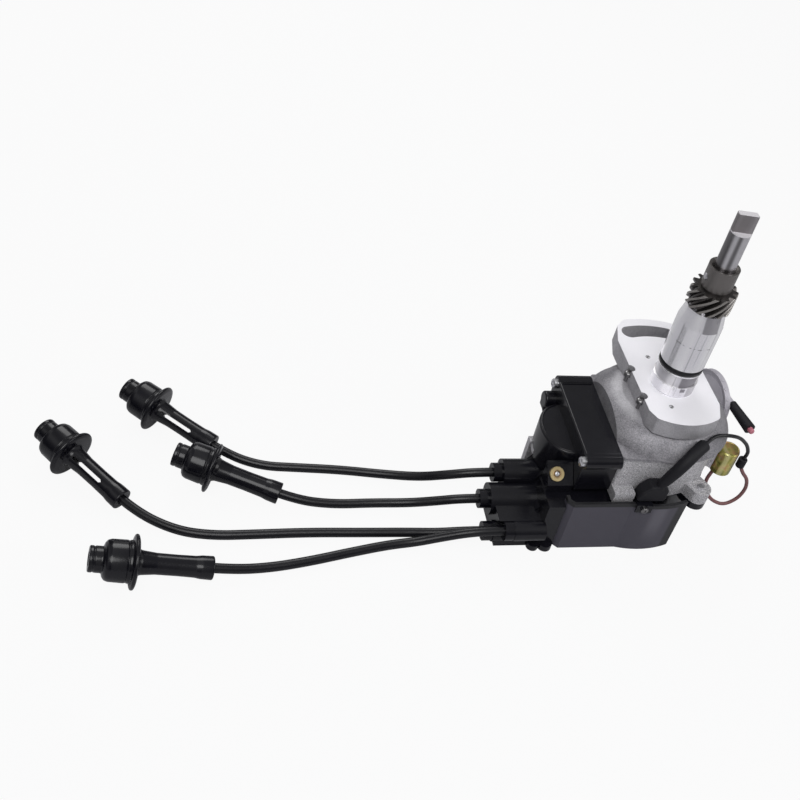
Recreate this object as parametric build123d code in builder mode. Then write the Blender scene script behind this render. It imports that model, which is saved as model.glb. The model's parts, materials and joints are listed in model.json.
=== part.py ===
"""Ignition distributor with a built-in coil, plug leads and boots.

The part stands upside down on its cap, drive gear up. The origin is on the shaft axis, on the
face of the flange that seats on the engine, and +Z runs towards the drive gear. The towers and
plug leads leave towards -X. All lengths are in millimetres and all angles in degrees.
"""
import os
from math import atan2, cos, degrees, hypot, pi, radians, sin, sqrt, tan

from build123d import *

os.makedirs("parts", exist_ok=True)

# ---------------------------------------------------------------- driving dimensions
# Fits between pieces
running_clearance = 0.03
sliding_clearance = 0.1
part_gap = 0.3

# Heights along the shaft axis, from the flange seating face
flange_thickness = 14.0
bell_base_z = -29.0
joint_z = -66.0
cap_height = 47.0

# Pilot that enters the engine block
pilot_diameter = 32.2
pilot_straight = 58.8
pilot_cone_length = 12.2
pilot_tip_diameter = 27.0
pilot_bore_diameter = 19.0
ring_groove_z = 19.6
ring_section = 4.2
relief_start_z = 9.0
relief_length = 9.0
relief_depth = 0.8

# Mounting flange with its adjusting slot
flange_front_radius = 43.5
flange_lobe_radius = 72.5
flange_left_x = -27.0
flange_right_x = 29.5
lobe_left_angle = 107.0
lobe_right_angle = 70.0
slot_radius = 58.3
slot_width = 13.0
slot_start_angle = 74.0
slot_end_angle = 104.0
flange_pocket_radius = 3.6
flange_pocket_depth = 6.5
flange_pocket_places = [-14.0, 15.0]

# Cast bell, bowl and coil chamber
bell_top_radius = 33.0
bell_base_radius = 53.0
bowl_offset_x = -5.0
bowl_radius = 51.5
bowl_wall = 5.5
chamber_face_x = -43.0
chamber_front_y = -48.0
chamber_back_y = 39.5
seam_wall = 5.0
ear_radius = 8.0
ear_thickness = 10.0
ear_places = [(25.0, -51.5), (30.0, 46.0), (-31.0, 52.0)]

# Drive shaft, gear and bushes
shaft_diameter = 14.0
shaft_tip_z = 145.0
shaft_spigot_diameter = 10.0
tang_thickness = 5.0
tang_length = 13.0
tang_angle = -9.0
bush_length = 14.0
gear_teeth = 13
gear_outer_diameter = 31.4
gear_root_diameter = 24.6
gear_face_width = 14.6
gear_helix_angle = 45.0
gear_hub_diameter = 21.0
gear_hub_length = 17.2
gear_pin_diameter = 5.0
washer_thickness = 1.4

# Centrifugal advance
governor_plate_radius = 25.0
governor_plate_thickness = 2.2
weight_thickness = 5.5
weight_pivot_radius = 19.0
weight_pin_diameter = 5.0
cam_sleeve_diameter = 16.0
cam_plate_radius = 14.0
cam_plate_thickness = 2.4

# Signal rotor, pickup and vacuum advance
signal_teeth = 4
signal_tip_radius = 16.5
signal_root_radius = 11.5
signal_height = 8.0
pickup_air_gap = 0.7
breaker_thickness = 1.8
breaker_radius = 32.0
base_plate_thickness = 1.6
vacuum_pin_radius = 24.0
vacuum_heading = 8.0
vacuum_rod_drop = 9.0
vacuum_pin_diameter = 4.0
vacuum_rod_diameter = 3.6
canister_diameter = 44.0
canister_inner_depth = 5.0
canister_outer_depth = 11.0
canister_wall = 1.5
vacuum_port_diameter = 5.2
vacuum_port_bore = 2.4
port_rise = 9.5
port_step = 6.2
port_boot_radius = 3.5
port_boot_end_radius = 4.4
port_boot_length = 27.0

# Rotor arm and cap
rotor_radius = 29.0
electrode_gap = 0.8
cap_wall = 5.5
cap_floor = 6.0
tower_seal_diameter = 14.4
tower_seal_length = 7.0

# Coil and its cover
cover_depth = 27.0
cover_wall = 2.4
cover_height = 37.0
bulge_half_width = 25.5
bulge_depth = 19.5
bulge_step = 14.0
cover_boss_radius = 5.5

# Splash shield round the front of the cap
shield_wall = 2.4
shield_face_y = -61.0
shield_left_x = -77.0
shield_corner_x = -28.0

# Condenser
condenser_diameter = 16.0
condenser_length = 22.0
condenser_place = (54.0, -25.0)

# Fasteners
screw_diameter = 5.0
screw_head_diameter = 9.0
screw_head_height = 3.2
cover_screw_diameter = 4.0
cover_screw_head_diameter = 7.6

# Plug leads and boots
lead_diameter = 7.0
boot_flange_diameter = 37.0
boot_body_diameter = 26.0
boot_nose_diameter = 17.0
boot_tail_diameter = 14.6
boot_nose_length = 29.0
boot_tail_length = 52.0
boot_flange_thickness = 3.4
boot_socket_diameter = 10.0
boot_socket_depth = 24.0
lead_grip = 10.0
lead_exit = 12.0

# ---------------------------------------------------------------- values worked out from them
floor_z = joint_z - cap_height
pilot_radius = pilot_diameter / 2
pilot_tip_z = pilot_straight + pilot_cone_length
shaft_radius = shaft_diameter / 2
print("floor is at z =", floor_z)


def ear_outline(centre):
    """Draw one screw ear that reaches from the bowl wall to its screw."""
    inner = (centre[0] * 0.7, centre[1] * 0.7)
    middle = ((centre[0] + inner[0]) / 2, (centre[1] + inner[1]) / 2)
    reach = hypot(centre[0] - inner[0], centre[1] - inner[1])
    with Locations(middle):
        SlotCenterToCenter(reach, 2 * ear_radius, rotation=degrees(atan2(centre[1], centre[0])))


def save(solid, name):
    """Label one finished piece and write it as its own STEP file."""
    solid.label = name
    export_step(solid, f"parts/{name}.step")


low_corner = (Align.MIN, Align.MIN, Align.MIN)
standing = (Align.CENTER, Align.CENTER, Align.MIN)
hanging = (Align.CENTER, Align.CENTER, Align.MAX)


# ================================================================ drive line heights
washer_z = pilot_tip_z + sliding_clearance
gear_z = washer_z + washer_thickness + sliding_clearance
gear_hub_z = gear_z + gear_face_width
gear_top_z = gear_hub_z + gear_hub_length
spigot_top_z = bell_base_z + 8.5
governor_z = spigot_top_z + governor_plate_thickness
shaft_low_z = floor_z + 33.0

with BuildPart() as drive_shaft:
    with BuildSketch(Plane.XY.offset(spigot_top_z)):
        Circle(shaft_radius)
    extrude(amount=shaft_tip_z - spigot_top_z)
    chamfer(drive_shaft.faces().sort_by(Axis.Z)[-1].edges(), 0.6)
    with BuildSketch(Plane.XY.offset(shaft_low_z)):
        Circle(shaft_spigot_diameter / 2)
    extrude(amount=spigot_top_z - shaft_low_z)
    with Locations(Location((0, 0, shaft_tip_z - tang_length / 2), (0, 0, tang_angle))):
        for side in (-1, 1):
            with Locations((0, side * (tang_thickness + shaft_diameter) / 2, 0)):
                Box(shaft_diameter + 2, shaft_diameter, tang_length, mode=Mode.SUBTRACT)
    with Locations(Location((0, 0, gear_hub_z + gear_hub_length / 2), (0, 90, 0))):
        Cylinder(gear_pin_diameter / 2, shaft_diameter + 2, mode=Mode.SUBTRACT)
save(drive_shaft.part, "drive_shaft")

# Helical gear: one tooth gap is drawn as a three-sided trapezoid and swept with a twist
gear_mean_radius = (gear_outer_diameter + gear_root_diameter) / 4
gear_twist = degrees(gear_face_width * tan(radians(gear_helix_angle)) / gear_mean_radius)
tooth_pitch = 360 / gear_teeth


def polar(radius, angle):
    """Give the point at a radius and an angle in degrees."""
    return (radius * cos(radians(angle)), radius * sin(radians(angle)))


with BuildSketch(Plane.XY.offset(gear_z)) as gear_outline:
    with BuildLine():
        corners = []
        for tooth in range(gear_teeth):
            middle = tooth * tooth_pitch
            corners.append(polar(gear_root_diameter / 2, middle - 0.36 * tooth_pitch))
            corners.append(polar(gear_outer_diameter / 2, middle - 0.15 * tooth_pitch))
            corners.append(polar(gear_outer_diameter / 2, middle + 0.15 * tooth_pitch))
            corners.append(polar(gear_root_diameter / 2, middle + 0.36 * tooth_pitch))
        Polyline(*corners, close=True)
    make_face()

gear_teeth_solid = Solid.extrude_linear_with_rotation(
    gear_outline.sketch.face(), (0, 0, gear_z), (0, 0, gear_face_width), gear_twist
)
with BuildPart() as drive_gear:
    add(gear_teeth_solid)
    with BuildSketch(Plane.XY.offset(gear_hub_z)):
        Circle(gear_hub_diameter / 2)
    extrude(amount=gear_hub_length)
    with Locations((0, 0, gear_z)):
        Cylinder(shaft_radius + running_clearance, gear_face_width + gear_hub_length,
                 align=(Align.CENTER, Align.CENTER, Align.MIN), mode=Mode.SUBTRACT)
    with Locations((0, 0, gear_top_z)):
        Cone(shaft_radius, shaft_radius + 2.2, 2.2,
             align=(Align.CENTER, Align.CENTER, Align.MAX), mode=Mode.SUBTRACT)
    with Locations(Location((0, 0, gear_hub_z + gear_hub_length / 2), (0, 90, 0))):
        Cylinder(gear_pin_diameter / 2, gear_hub_diameter + 2, mode=Mode.SUBTRACT)
save(drive_gear.part, "drive_gear")

with BuildPart() as gear_pin:
    with Locations(Location((0, 0, gear_hub_z + gear_hub_length / 2), (0, 90, 0))):
        Cylinder(gear_pin_diameter / 2, gear_hub_diameter + 0.8)
    chamfer(gear_pin.edges().filter_by(GeomType.CIRCLE), 0.4)
save(gear_pin.part, "gear_pin")

with BuildPart() as thrust_washer:
    with BuildSketch(Plane.XY.offset(washer_z)):
        Circle(pilot_tip_diameter / 2 - 1.5)
        Circle(shaft_radius + sliding_clearance, mode=Mode.SUBTRACT)
    extrude(amount=washer_thickness)
save(thrust_washer.part, "thrust_washer")

# ================================================================ housing
cavity_radius = bowl_radius - bowl_wall
cavity_left_x = chamber_face_x + seam_wall
cavity_roof_z = bell_base_z - 4.0
bell_inner_top_radius = bell_top_radius - 5.0
bell_roof_z = bell_base_z + 12.0
base_plate_radius = cavity_radius + bowl_offset_x - 2.0
base_plate_z = cavity_roof_z - base_plate_thickness
breaker_z = base_plate_z - sliding_clearance - breaker_thickness
rod_z = breaker_z - vacuum_rod_drop
canister_reach = bowl_offset_x + bowl_radius + 13.5
neck_radius = 8.5
rod_bore_radius = vacuum_rod_diameter / 2 + 1.2
# The vacuum line: its local Z runs from the breaker pin outwards through the canister
rod_line = Location((0, 0, rod_z), (0, 0, vacuum_heading)) * Location((0, vacuum_pin_radius, 0), (0, 90, 0))
canister_place = rod_line * Location((0, 0, canister_reach))
shelf_thickness = 4.5
shelf_front_y = -5.0
cradle_left_x = -90.0
cradle_right_x = -75.0
cradle_y = 4.0
cradle_thickness = 5.5
cradle_low_z = -100.0
band_height = 9.0
band_front_y = -57.0
band_right_x = -27.5
condenser_angle = degrees(atan2(condenser_place[1], condenser_place[0] - bowl_offset_x))
condenser_reach = hypot(condenser_place[1], condenser_place[0] - bowl_offset_x)
condenser_top_z = bell_base_z - 14.0
condenser_low_z = condenser_top_z - condenser_length
bracket_thickness = 1.4
bracket_z = condenser_low_z + condenser_length / 2
weight_room_radius = base_plate_radius - 4
cover_left_x = chamber_face_x - cover_depth
bulge_y = (chamber_front_y + chamber_back_y) / 2
bulge_top_z = bell_base_z - bulge_step
ring_depth = ring_section + running_clearance
pocket_screw_diameter = 3.5
cover_screw_places = [
    (chamber_front_y + 2.5, bell_base_z - cover_boss_radius - 0.4),
    (chamber_back_y - 6.0, bell_base_z - 4.5),
    (chamber_back_y - 6.0, bell_base_z - cover_height + 5.0),
]
pad_reach = condenser_reach - condenser_diameter / 2 - bracket_thickness



def bulge_outline(inset, run):
    """Give the half ellipse of the winding bulge, drawn in by a wall, with a straight run behind it."""
    with BuildSketch() as outline:
        Ellipse(bulge_depth - inset, bulge_half_width - inset)
        Rectangle(2 * bulge_depth, 3 * bulge_half_width, align=(Align.MAX, Align.CENTER), mode=Mode.INTERSECT)
        Rectangle(run, 2 * (bulge_half_width - inset), align=(Align.MIN, Align.CENTER))
    return outline.sketch.moved(Location((cover_left_x, bulge_y, 0)))


with BuildPart() as housing:
    # mounting flange: round in front, straight sides, lobe at the back
    with BuildSketch():
        with BuildLine():
            front_left = (flange_left_x + 4, -sqrt(flange_front_radius**2 - (flange_left_x + 4)**2))
            front_right = (flange_right_x - 5, -sqrt(flange_front_radius**2 - (flange_right_x - 5)**2))
            side_left_low = (flange_left_x, front_left[1] + 8)
            side_right_low = (flange_right_x, front_right[1] + 14)
            side_left_high = (flange_left_x, flange_lobe_radius * 0.64)
            side_right_high = (flange_right_x, flange_lobe_radius * 0.21)
            lobe_left = polar(flange_lobe_radius - 5, lobe_left_angle + 2)
            lobe_right = polar(flange_lobe_radius, lobe_right_angle)
            ThreePointArc(front_left, (0, -flange_front_radius), front_right)
            Line(front_right, side_right_low)
            Line(side_right_low, side_right_high)
            Line(side_right_high, lobe_right)
            ThreePointArc(lobe_right, (0, flange_lobe_radius),
                          polar(flange_lobe_radius, lobe_left_angle - 5))
            Line(polar(flange_lobe_radius, lobe_left_angle - 5), lobe_left)
            Line(lobe_left, side_left_high)
            Line(side_left_high, side_left_low)
            Line(side_left_low, front_left)
        make_face()
    extrude(amount=-flange_thickness)
    fillet(housing.edges().filter_by(Axis.Z), 3.5)
    # bell over the centrifugal weights, rounded at the shoulder
    with BuildSketch(Plane.XZ):
        with BuildLine():
            shoulder_z = -flange_thickness + 2
            Polyline((0, shoulder_z), (0, bell_base_z), (bell_base_radius, bell_base_z))
            ThreePointArc((bell_base_radius, bell_base_z),
                          (bell_top_radius + 0.62 * (bell_base_radius - bell_top_radius),
                           bell_base_z + 0.62 * (shoulder_z - bell_base_z)),
                          (bell_top_radius, shoulder_z))
            Line((bell_top_radius, shoulder_z), (0, shoulder_z))
        make_face()
    revolve(axis=Axis.Z)
    # bowl under the bell and the chamber that the coil cover closes
    with BuildSketch(Plane.XY.offset(joint_z)):
        with Locations((bowl_offset_x, 0)):
            Circle(bowl_radius)
        with BuildLine():
            Polyline((chamber_face_x, chamber_front_y), (bowl_offset_x, chamber_front_y - 3),
                     (bowl_offset_x, chamber_back_y), (chamber_face_x, chamber_back_y), close=True)
        make_face()
    extrude(amount=bell_base_z - joint_z)
    fillet(housing.edges().filter_by(Axis.Z).group_by(Axis.X)[0], 3)
    # the casting ends at the seam that the coil cover closes
    with Locations((chamber_face_x, 0, joint_z)):
        Box(100, 300, -joint_z - flange_thickness, align=(Align.MAX, Align.CENTER, Align.MIN),
            mode=Mode.SUBTRACT)
    # coil shelf and cradle wall behind the coil
    with BuildSketch(Plane.XY.offset(joint_z)):
        add(bulge_outline(0, cover_depth + 2))
        with Locations((cover_left_x, chamber_back_y)):
            Rectangle(cover_depth + 2, chamber_back_y - bulge_y, align=(Align.MIN, Align.MAX))
        with Locations((cover_left_x, shelf_front_y)):
            Rectangle(200, 200, align=(Align.CENTER, Align.MIN), mode=Mode.INTERSECT)
    extrude(amount=-shelf_thickness)
    with Locations((cradle_left_x, cradle_y, cradle_low_z)):
        Box(cradle_right_x - cradle_left_x, cradle_thickness, joint_z - cradle_low_z, align=low_corner)
    # rim band along the front left edge
    with Locations((chamber_face_x, band_front_y, joint_z)):
        Box(band_right_x - chamber_face_x, 12, band_height, align=low_corner)
    # ears for the cap screws
    for ear_x, ear_y in ear_places:
        with BuildSketch(Plane.XY.offset(joint_z)):
            ear_outline((ear_x, ear_y))
        extrude(amount=ear_thickness)
    # boss that carries the vacuum canister, and pad for the condenser bracket
    with Locations(canister_place):
        Cylinder(neck_radius, canister_reach, align=hanging)
    with Locations(Location((bowl_offset_x, 0, bracket_z), (0, 0, condenser_angle))):
        with Locations((pad_reach, 0, 0)):
            Box(pad_reach, 12, 14, align=(Align.MAX, Align.CENTER, Align.CENTER))
    # pilot with its cone, seal groove and relief
    with BuildSketch(Plane.XZ):
        with BuildLine():
            Polyline((0, -1), (pilot_radius, -1), (pilot_radius, relief_start_z),
                     (pilot_radius - relief_depth, relief_start_z + 0.5),
                     (pilot_radius - relief_depth, relief_start_z + relief_length),
                     (pilot_radius, relief_start_z + relief_length + 0.5),
                     (pilot_radius, ring_groove_z),
                     (pilot_radius - ring_depth, ring_groove_z),
                     (pilot_radius - ring_depth, ring_groove_z + ring_section + 0.4),
                     (pilot_radius, ring_groove_z + ring_section + 0.4),
                     (pilot_radius, pilot_straight),
                     (pilot_tip_diameter / 2, pilot_tip_z), (0, pilot_tip_z), close=True)
        make_face()
    revolve(axis=Axis.Z)
    # inside: bore for the bushes, room for the weights, bowl and hole for the vacuum rod
    with BuildSketch(Plane.XZ):
        with BuildLine():
            Polyline((0, pilot_tip_z + 1), (pilot_bore_diameter / 2, pilot_tip_z + 1),
                     (pilot_bore_diameter / 2, bell_roof_z), (bell_inner_top_radius, bell_roof_z),
                     (weight_room_radius, bell_roof_z - 8), (weight_room_radius, cavity_roof_z),
                     (0, cavity_roof_z), close=True)
        make_face()
    revolve(axis=Axis.Z, mode=Mode.SUBTRACT)
    with BuildSketch(Plane.XY.offset(joint_z - shelf_thickness)):
        with Locations((bowl_offset_x, 0)):
            Circle(cavity_radius)
        with Locations((cavity_left_x, 0)):
            Rectangle(200, 200, align=(Align.MIN, Align.CENTER), mode=Mode.INTERSECT)
    extrude(amount=cavity_roof_z - joint_z + shelf_thickness, mode=Mode.SUBTRACT)
    with Locations(rod_line):
        Cylinder(rod_bore_radius, 2 * canister_reach, align=standing, mode=Mode.SUBTRACT)
    # adjusting slot, concentric with the shaft
    with BuildSketch():
        slot_mid = (slot_start_angle + slot_end_angle) / 2
        SlotArc(ThreePointArc(polar(slot_radius, slot_start_angle), polar(slot_radius, slot_mid),
                              polar(slot_radius, slot_end_angle)).edge(), slot_width)
    extrude(amount=-flange_thickness - 10, mode=Mode.SUBTRACT)
    # screw pockets in the left edge of the flange
    for pocket_y in flange_pocket_places:
        with Locations((flange_left_x, pocket_y, 1)):
            Cylinder(flange_pocket_radius, flange_pocket_depth + 1, align=hanging, mode=Mode.SUBTRACT)
        with Locations((flange_left_x, pocket_y, 1)):
            Cylinder(pocket_screw_diameter / 2, flange_pocket_depth + 7, align=hanging, mode=Mode.SUBTRACT)
    # threaded holes for the cap, canister, condenser and coil cover screws
    for ear_x, ear_y in ear_places:
        with Locations((ear_x, ear_y, joint_z)):
            Cylinder(screw_diameter / 2, 3 * ear_thickness, mode=Mode.SUBTRACT)
    for screw_y, screw_z in cover_screw_places:
        with Locations(Location((chamber_face_x - 1, screw_y, screw_z), (0, 90, 0))):
            Cylinder(cover_screw_diameter / 2, 9, align=standing, mode=Mode.SUBTRACT)
save(housing.part, "housing")

# ================================================================ seals and bushes in the pilot
with BuildPart() as pilot_o_ring:
    with BuildSketch(Plane.XZ):
        with Locations((pilot_radius - ring_depth + ring_section / 2, ring_groove_z + 0.2 + ring_section / 2)):
            Circle(ring_section / 2 - 0.01)
    revolve(axis=Axis.Z)
save(pilot_o_ring.part, "pilot_o_ring")

bush_places = {"upper_bush": pilot_tip_z - bush_length, "lower_bush": bell_roof_z + 1.0}
for bush_name, bush_z in bush_places.items():
    with BuildPart() as bush:
        with BuildSketch(Plane.XY.offset(bush_z)):
            Circle(pilot_bore_diameter / 2)
            Circle(shaft_radius + running_clearance, mode=Mode.SUBTRACT)
        extrude(amount=bush_length)
    save(bush.part, bush_name)

with BuildPart() as pocket_screws:
    for pocket_y in flange_pocket_places:
        with Locations((flange_left_x, pocket_y, -flange_pocket_depth)):
            Cylinder(flange_pocket_radius - part_gap, 2.2, align=standing)
        with Locations((flange_left_x, pocket_y, -flange_pocket_depth)):
            Cylinder(pocket_screw_diameter / 2 - part_gap / 2, 6, align=hanging)
save(pocket_screws.part, "pocket_screws")

# ================================================================ centrifugal advance
weight_z = spigot_top_z - part_gap - weight_thickness
cam_plate_z = weight_z - part_gap - cam_plate_thickness
cam_sleeve_low_z = shaft_low_z - 1.0
cam_bore_radius = shaft_spigot_diameter / 2 + running_clearance
weight_pin_radius = weight_pin_diameter / 2

with BuildPart() as governor_plate:
    with BuildSketch(Plane.XY.offset(spigot_top_z)):
        Circle(governor_plate_radius)
        Circle(shaft_radius, mode=Mode.SUBTRACT)
    extrude(amount=governor_plate_thickness)
    for side in (-1, 1):
        with Locations((0, side * weight_pivot_radius, spigot_top_z)):
            Cylinder(weight_pin_radius, weight_thickness + 2 * part_gap, align=hanging)
save(governor_plate.part, "governor_plate")

# Each weight is drawn at the -Y pivot; the second is the first one turned half round
weight_outer = governor_plate_radius - 0.5
weight_nose = shaft_radius + 8.2
weight_waist = shaft_radius + 4.7
weight_heel = shaft_radius + 6.7
for name, turn in {"governor_weight_left": 0, "governor_weight_right": 180}.items():
    with BuildPart() as weight:
        with BuildSketch(Plane.XY.offset(weight_z)):
            with BuildLine():
                ThreePointArc(polar(weight_outer, -100), polar(weight_outer, -148), polar(weight_outer, -172))
                Line(polar(weight_outer, -172), polar(weight_nose, -172))
                ThreePointArc(polar(weight_nose, -172), polar(weight_waist, -140), polar(weight_heel, -96))
                Line(polar(weight_heel, -96), polar(weight_outer, -100))
            make_face()
        extrude(amount=weight_thickness)
        with Locations((0, -weight_pivot_radius, weight_z)):
            Cylinder(weight_pin_radius + 2.4, weight_thickness, align=standing)
        with Locations((0, -weight_pivot_radius, weight_z)):
            Cylinder(weight_pin_radius + running_clearance, 3 * weight_thickness, mode=Mode.SUBTRACT)
    save(Rot(0, 0, turn) * weight.part, name)

with BuildPart() as cam_sleeve:
    with BuildSketch(Plane.XY.offset(cam_sleeve_low_z)):
        Circle(cam_sleeve_diameter / 2)
    extrude(amount=cam_plate_z - cam_sleeve_low_z)
    with BuildSketch(Plane.XY.offset(cam_plate_z)):
        Circle(cam_plate_radius)
        with Locations((cam_plate_radius, 0), (-cam_plate_radius, 0)):
            Circle(4.5, mode=Mode.SUBTRACT)
    extrude(amount=cam_plate_thickness)
    with Locations((0, 0, shaft_low_z - part_gap)):
        Cylinder(cam_bore_radius, 200, align=standing, mode=Mode.SUBTRACT)
save(cam_sleeve.part, "cam_sleeve")

# ================================================================ signal rotor, plates and pickup
signal_z = breaker_z - 3.5 - signal_height
pickup_height = signal_height + 2.0
with BuildPart() as signal_rotor:
    with BuildSketch(Plane.XY.offset(signal_z)):
        Circle(signal_root_radius)
        with PolarLocations(signal_tip_radius - 3, signal_teeth):
            Rectangle(6, 4.4)
        Circle(cam_sleeve_diameter / 2, mode=Mode.SUBTRACT)
    extrude(amount=signal_height)
save(signal_rotor.part, "signal_rotor")

hub_outer = cam_plate_radius + 3.0
with BuildPart() as base_plate:
    with BuildSketch(Plane.XY.offset(base_plate_z)):
        Circle(base_plate_radius)
        Rectangle(2 * abs(cavity_left_x) - 1, 200, mode=Mode.INTERSECT)
        Circle(hub_outer - 2.0, mode=Mode.SUBTRACT)
    extrude(amount=base_plate_thickness)
    with BuildSketch(Plane.XY.offset(base_plate_z)):
        Circle(hub_outer)
        Circle(hub_outer - 2.0, mode=Mode.SUBTRACT)
    extrude(amount=-breaker_thickness - 2 * sliding_clearance)
save(base_plate.part, "base_plate")

breaker_pin_place = polar(vacuum_pin_radius, 90 + vacuum_heading)
with BuildPart() as breaker_plate:
    with BuildSketch(Plane.XY.offset(breaker_z)):
        Circle(breaker_radius)
        Circle(hub_outer + sliding_clearance, mode=Mode.SUBTRACT)
    extrude(amount=breaker_thickness)
    with Locations((*breaker_pin_place, breaker_z)):
        Cylinder(vacuum_pin_diameter / 2, vacuum_rod_drop + vacuum_rod_diameter, align=hanging)
save(breaker_plate.part, "breaker_plate")

pickup_inner = signal_tip_radius + pickup_air_gap
with BuildPart() as pickup_coil:
    with Locations((0, -pickup_inner, signal_z + signal_height / 2)):
        Box(4.4, breaker_radius - pickup_inner - 2, 3.5, align=(Align.CENTER, Align.MAX, Align.CENTER))
    with Locations(Location((0, -pickup_inner - 3, signal_z + signal_height / 2), (90, 0, 0))):
        Cylinder(pickup_height / 2, breaker_radius - pickup_inner - 8, align=standing)
    with Locations((0, 4 - breaker_radius, breaker_z)):
        Box(16, 4, breaker_z - signal_z + 1, align=(Align.CENTER, Align.CENTER, Align.MAX))
save(pickup_coil.part, "pickup_coil")

# ================================================================ vacuum advance
canister_radius = canister_diameter / 2
rim_height = 1.2
outer_face = canister_inner_depth + canister_outer_depth

with BuildPart() as canister_inner:
    with BuildSketch(Plane.XZ) as inner_profile:
        with BuildLine():
            Polyline((rod_bore_radius, 0), (neck_radius + 4, 0), (canister_radius - 3, 3),
                     (canister_radius - 3, canister_inner_depth - 1.6),
                     (canister_radius, canister_inner_depth - 1.6),
                     (canister_radius, canister_inner_depth),
                     (canister_radius - 3 - canister_wall, canister_inner_depth),
                     (canister_radius - 3 - canister_wall, 3 + canister_wall),
                     (neck_radius + 4, canister_wall), (rod_bore_radius, canister_wall), close=True)
        make_face()
    revolve(axis=Axis.Z)
canister_inner.part.location = canister_place
save(canister_inner.part, "canister_inner")

dome_edge = canister_radius - 3
dome_start = 2.4
dome_taper = 0.6
port_local = Location((-port_rise, 0, canister_inner_depth + port_step)) * Location((0, 0, 0), (90, 0, 0))
port_place = canister_place * port_local
with BuildPart() as canister_outer:
    with BuildSketch(Plane.XZ):
        with BuildLine():
            Polyline((0, outer_face), (0, outer_face - canister_wall),
                     (dome_edge * 0.55, outer_face - canister_wall),
                     (dome_edge - canister_wall, canister_inner_depth + dome_start),
                     (dome_edge - canister_wall, canister_inner_depth + rim_height),
                     (canister_radius, canister_inner_depth + rim_height),
                     (canister_radius, canister_inner_depth),
                     (canister_radius + 0.01, canister_inner_depth - 2.2),
                     (canister_radius + 1.2, canister_inner_depth - 2.2),
                     (canister_radius + 1.2, canister_inner_depth + dome_start),
                     (dome_edge, canister_inner_depth + dome_start),
                     (dome_edge * dome_taper, outer_face), close=True)
        make_face()
    revolve(axis=Axis.Z)
canister_outer.part.location = canister_place
save(canister_outer.part, "canister_outer")

diaphragm_reach = canister_reach + canister_inner_depth - 0.6
with BuildPart() as vacuum_rod:
    with Locations((0, 0, 0)):
        Box(vacuum_rod_diameter, vacuum_rod_diameter, diaphragm_reach, align=standing)
    fillet(vacuum_rod.edges().filter_by(Axis.Z), 0.9)
    with Locations(Location((0, 0, 0), (0, 90, 0))):
        Cylinder(vacuum_pin_diameter / 2 + 2.6, vacuum_rod_diameter)
        Cylinder(vacuum_pin_diameter / 2 + 0.6, vacuum_rod_diameter, mode=Mode.SUBTRACT)
save(rod_line * vacuum_rod.part, "vacuum_rod")

with BuildPart() as diaphragm:
    Cylinder(dome_edge - canister_wall - 4, 0.9, align=standing)
save(rod_line * Location((0, 0, diaphragm_reach)) * diaphragm.part, "diaphragm")

spring_low = diaphragm_reach + 0.9 + 0.1
spring_high = canister_reach + outer_face - canister_wall - 0.1
with BuildPart() as vacuum_spring:
    Cylinder(7.5, spring_high - spring_low, align=standing)
    Cylinder(6.0, spring_high - spring_low, align=standing, mode=Mode.SUBTRACT)
save(rod_line * Location((0, 0, spring_low)) * vacuum_spring.part, "vacuum_spring")

# The port leaves the side of the outer half; the rubber boot starts past the crimped rim
port_radius = vacuum_port_diameter / 2
port_boot_start = canister_radius - 4.0
with BuildPart() as vacuum_port:
    with Locations(port_place):
        Cylinder(port_radius, port_boot_start + port_boot_length - 8, align=standing)
        Cylinder(vacuum_port_bore / 2, port_boot_start + port_boot_length, align=standing, mode=Mode.SUBTRACT)
    with Locations(canister_place * Location((0, 0, canister_inner_depth + dome_start))):
        Cone(dome_edge, dome_edge * dome_taper, canister_outer_depth - dome_start, align=standing,
             mode=Mode.SUBTRACT)
save(vacuum_port.part, "vacuum_port")

with BuildPart() as vacuum_hose:
    with Locations((0, 0, port_boot_start)):
        Cone(port_boot_radius, port_boot_end_radius, port_boot_length, align=standing)
        Cylinder(port_radius + 0.02, port_boot_length - 6, align=standing, mode=Mode.SUBTRACT)
save(port_place * vacuum_hose.part, "vacuum_hose")

with BuildPart() as hose_plug:
    with Locations((0, 0, port_boot_start + port_boot_length)):
        Cylinder(port_radius - 0.4, 4, align=standing)
    fillet(hose_plug.faces().sort_by(Axis.Z)[-1].edges(), 1.2)
save(port_place * hose_plug.part, "hose_plug")

# ================================================================ rotor arm
rotor_low_z = floor_z + cap_floor + 10.0
rotor_arm_thickness = 6.0
rotor_top_z = cam_sleeve_low_z + 5.0
rotor_blade_thickness = 1.0
with BuildPart() as rotor_arm:
    with BuildSketch(Plane.XY.offset(rotor_low_z)):
        Circle(cam_sleeve_diameter / 2 + 3.5)
    extrude(amount=rotor_top_z - rotor_low_z)
    with BuildSketch(Plane.XY.offset(rotor_low_z)):
        with Locations((rotor_radius / 2 - 1, 0)):
            Rectangle(rotor_radius - 2, 11)
        with Locations((-9, 0)):
            Circle(9)
    extrude(amount=rotor_arm_thickness)
    fillet(rotor_arm.edges().filter_by(Axis.Z).sort_by(Axis.X)[-2:], 2)
    with Locations((0, 0, cam_sleeve_low_z)):
        Cylinder(cam_sleeve_diameter / 2, 40, align=standing, mode=Mode.SUBTRACT)
save(rotor_arm.part, "rotor_arm")

with BuildPart() as rotor_blade:
    with BuildSketch(Plane.XY.offset(rotor_low_z)):
        with Locations((rotor_radius / 2, 0)):
            Rectangle(rotor_radius, 7)
        Circle(4.5)
    extrude(amount=-rotor_blade_thickness)
save(rotor_blade.part, "rotor_blade")

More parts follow.
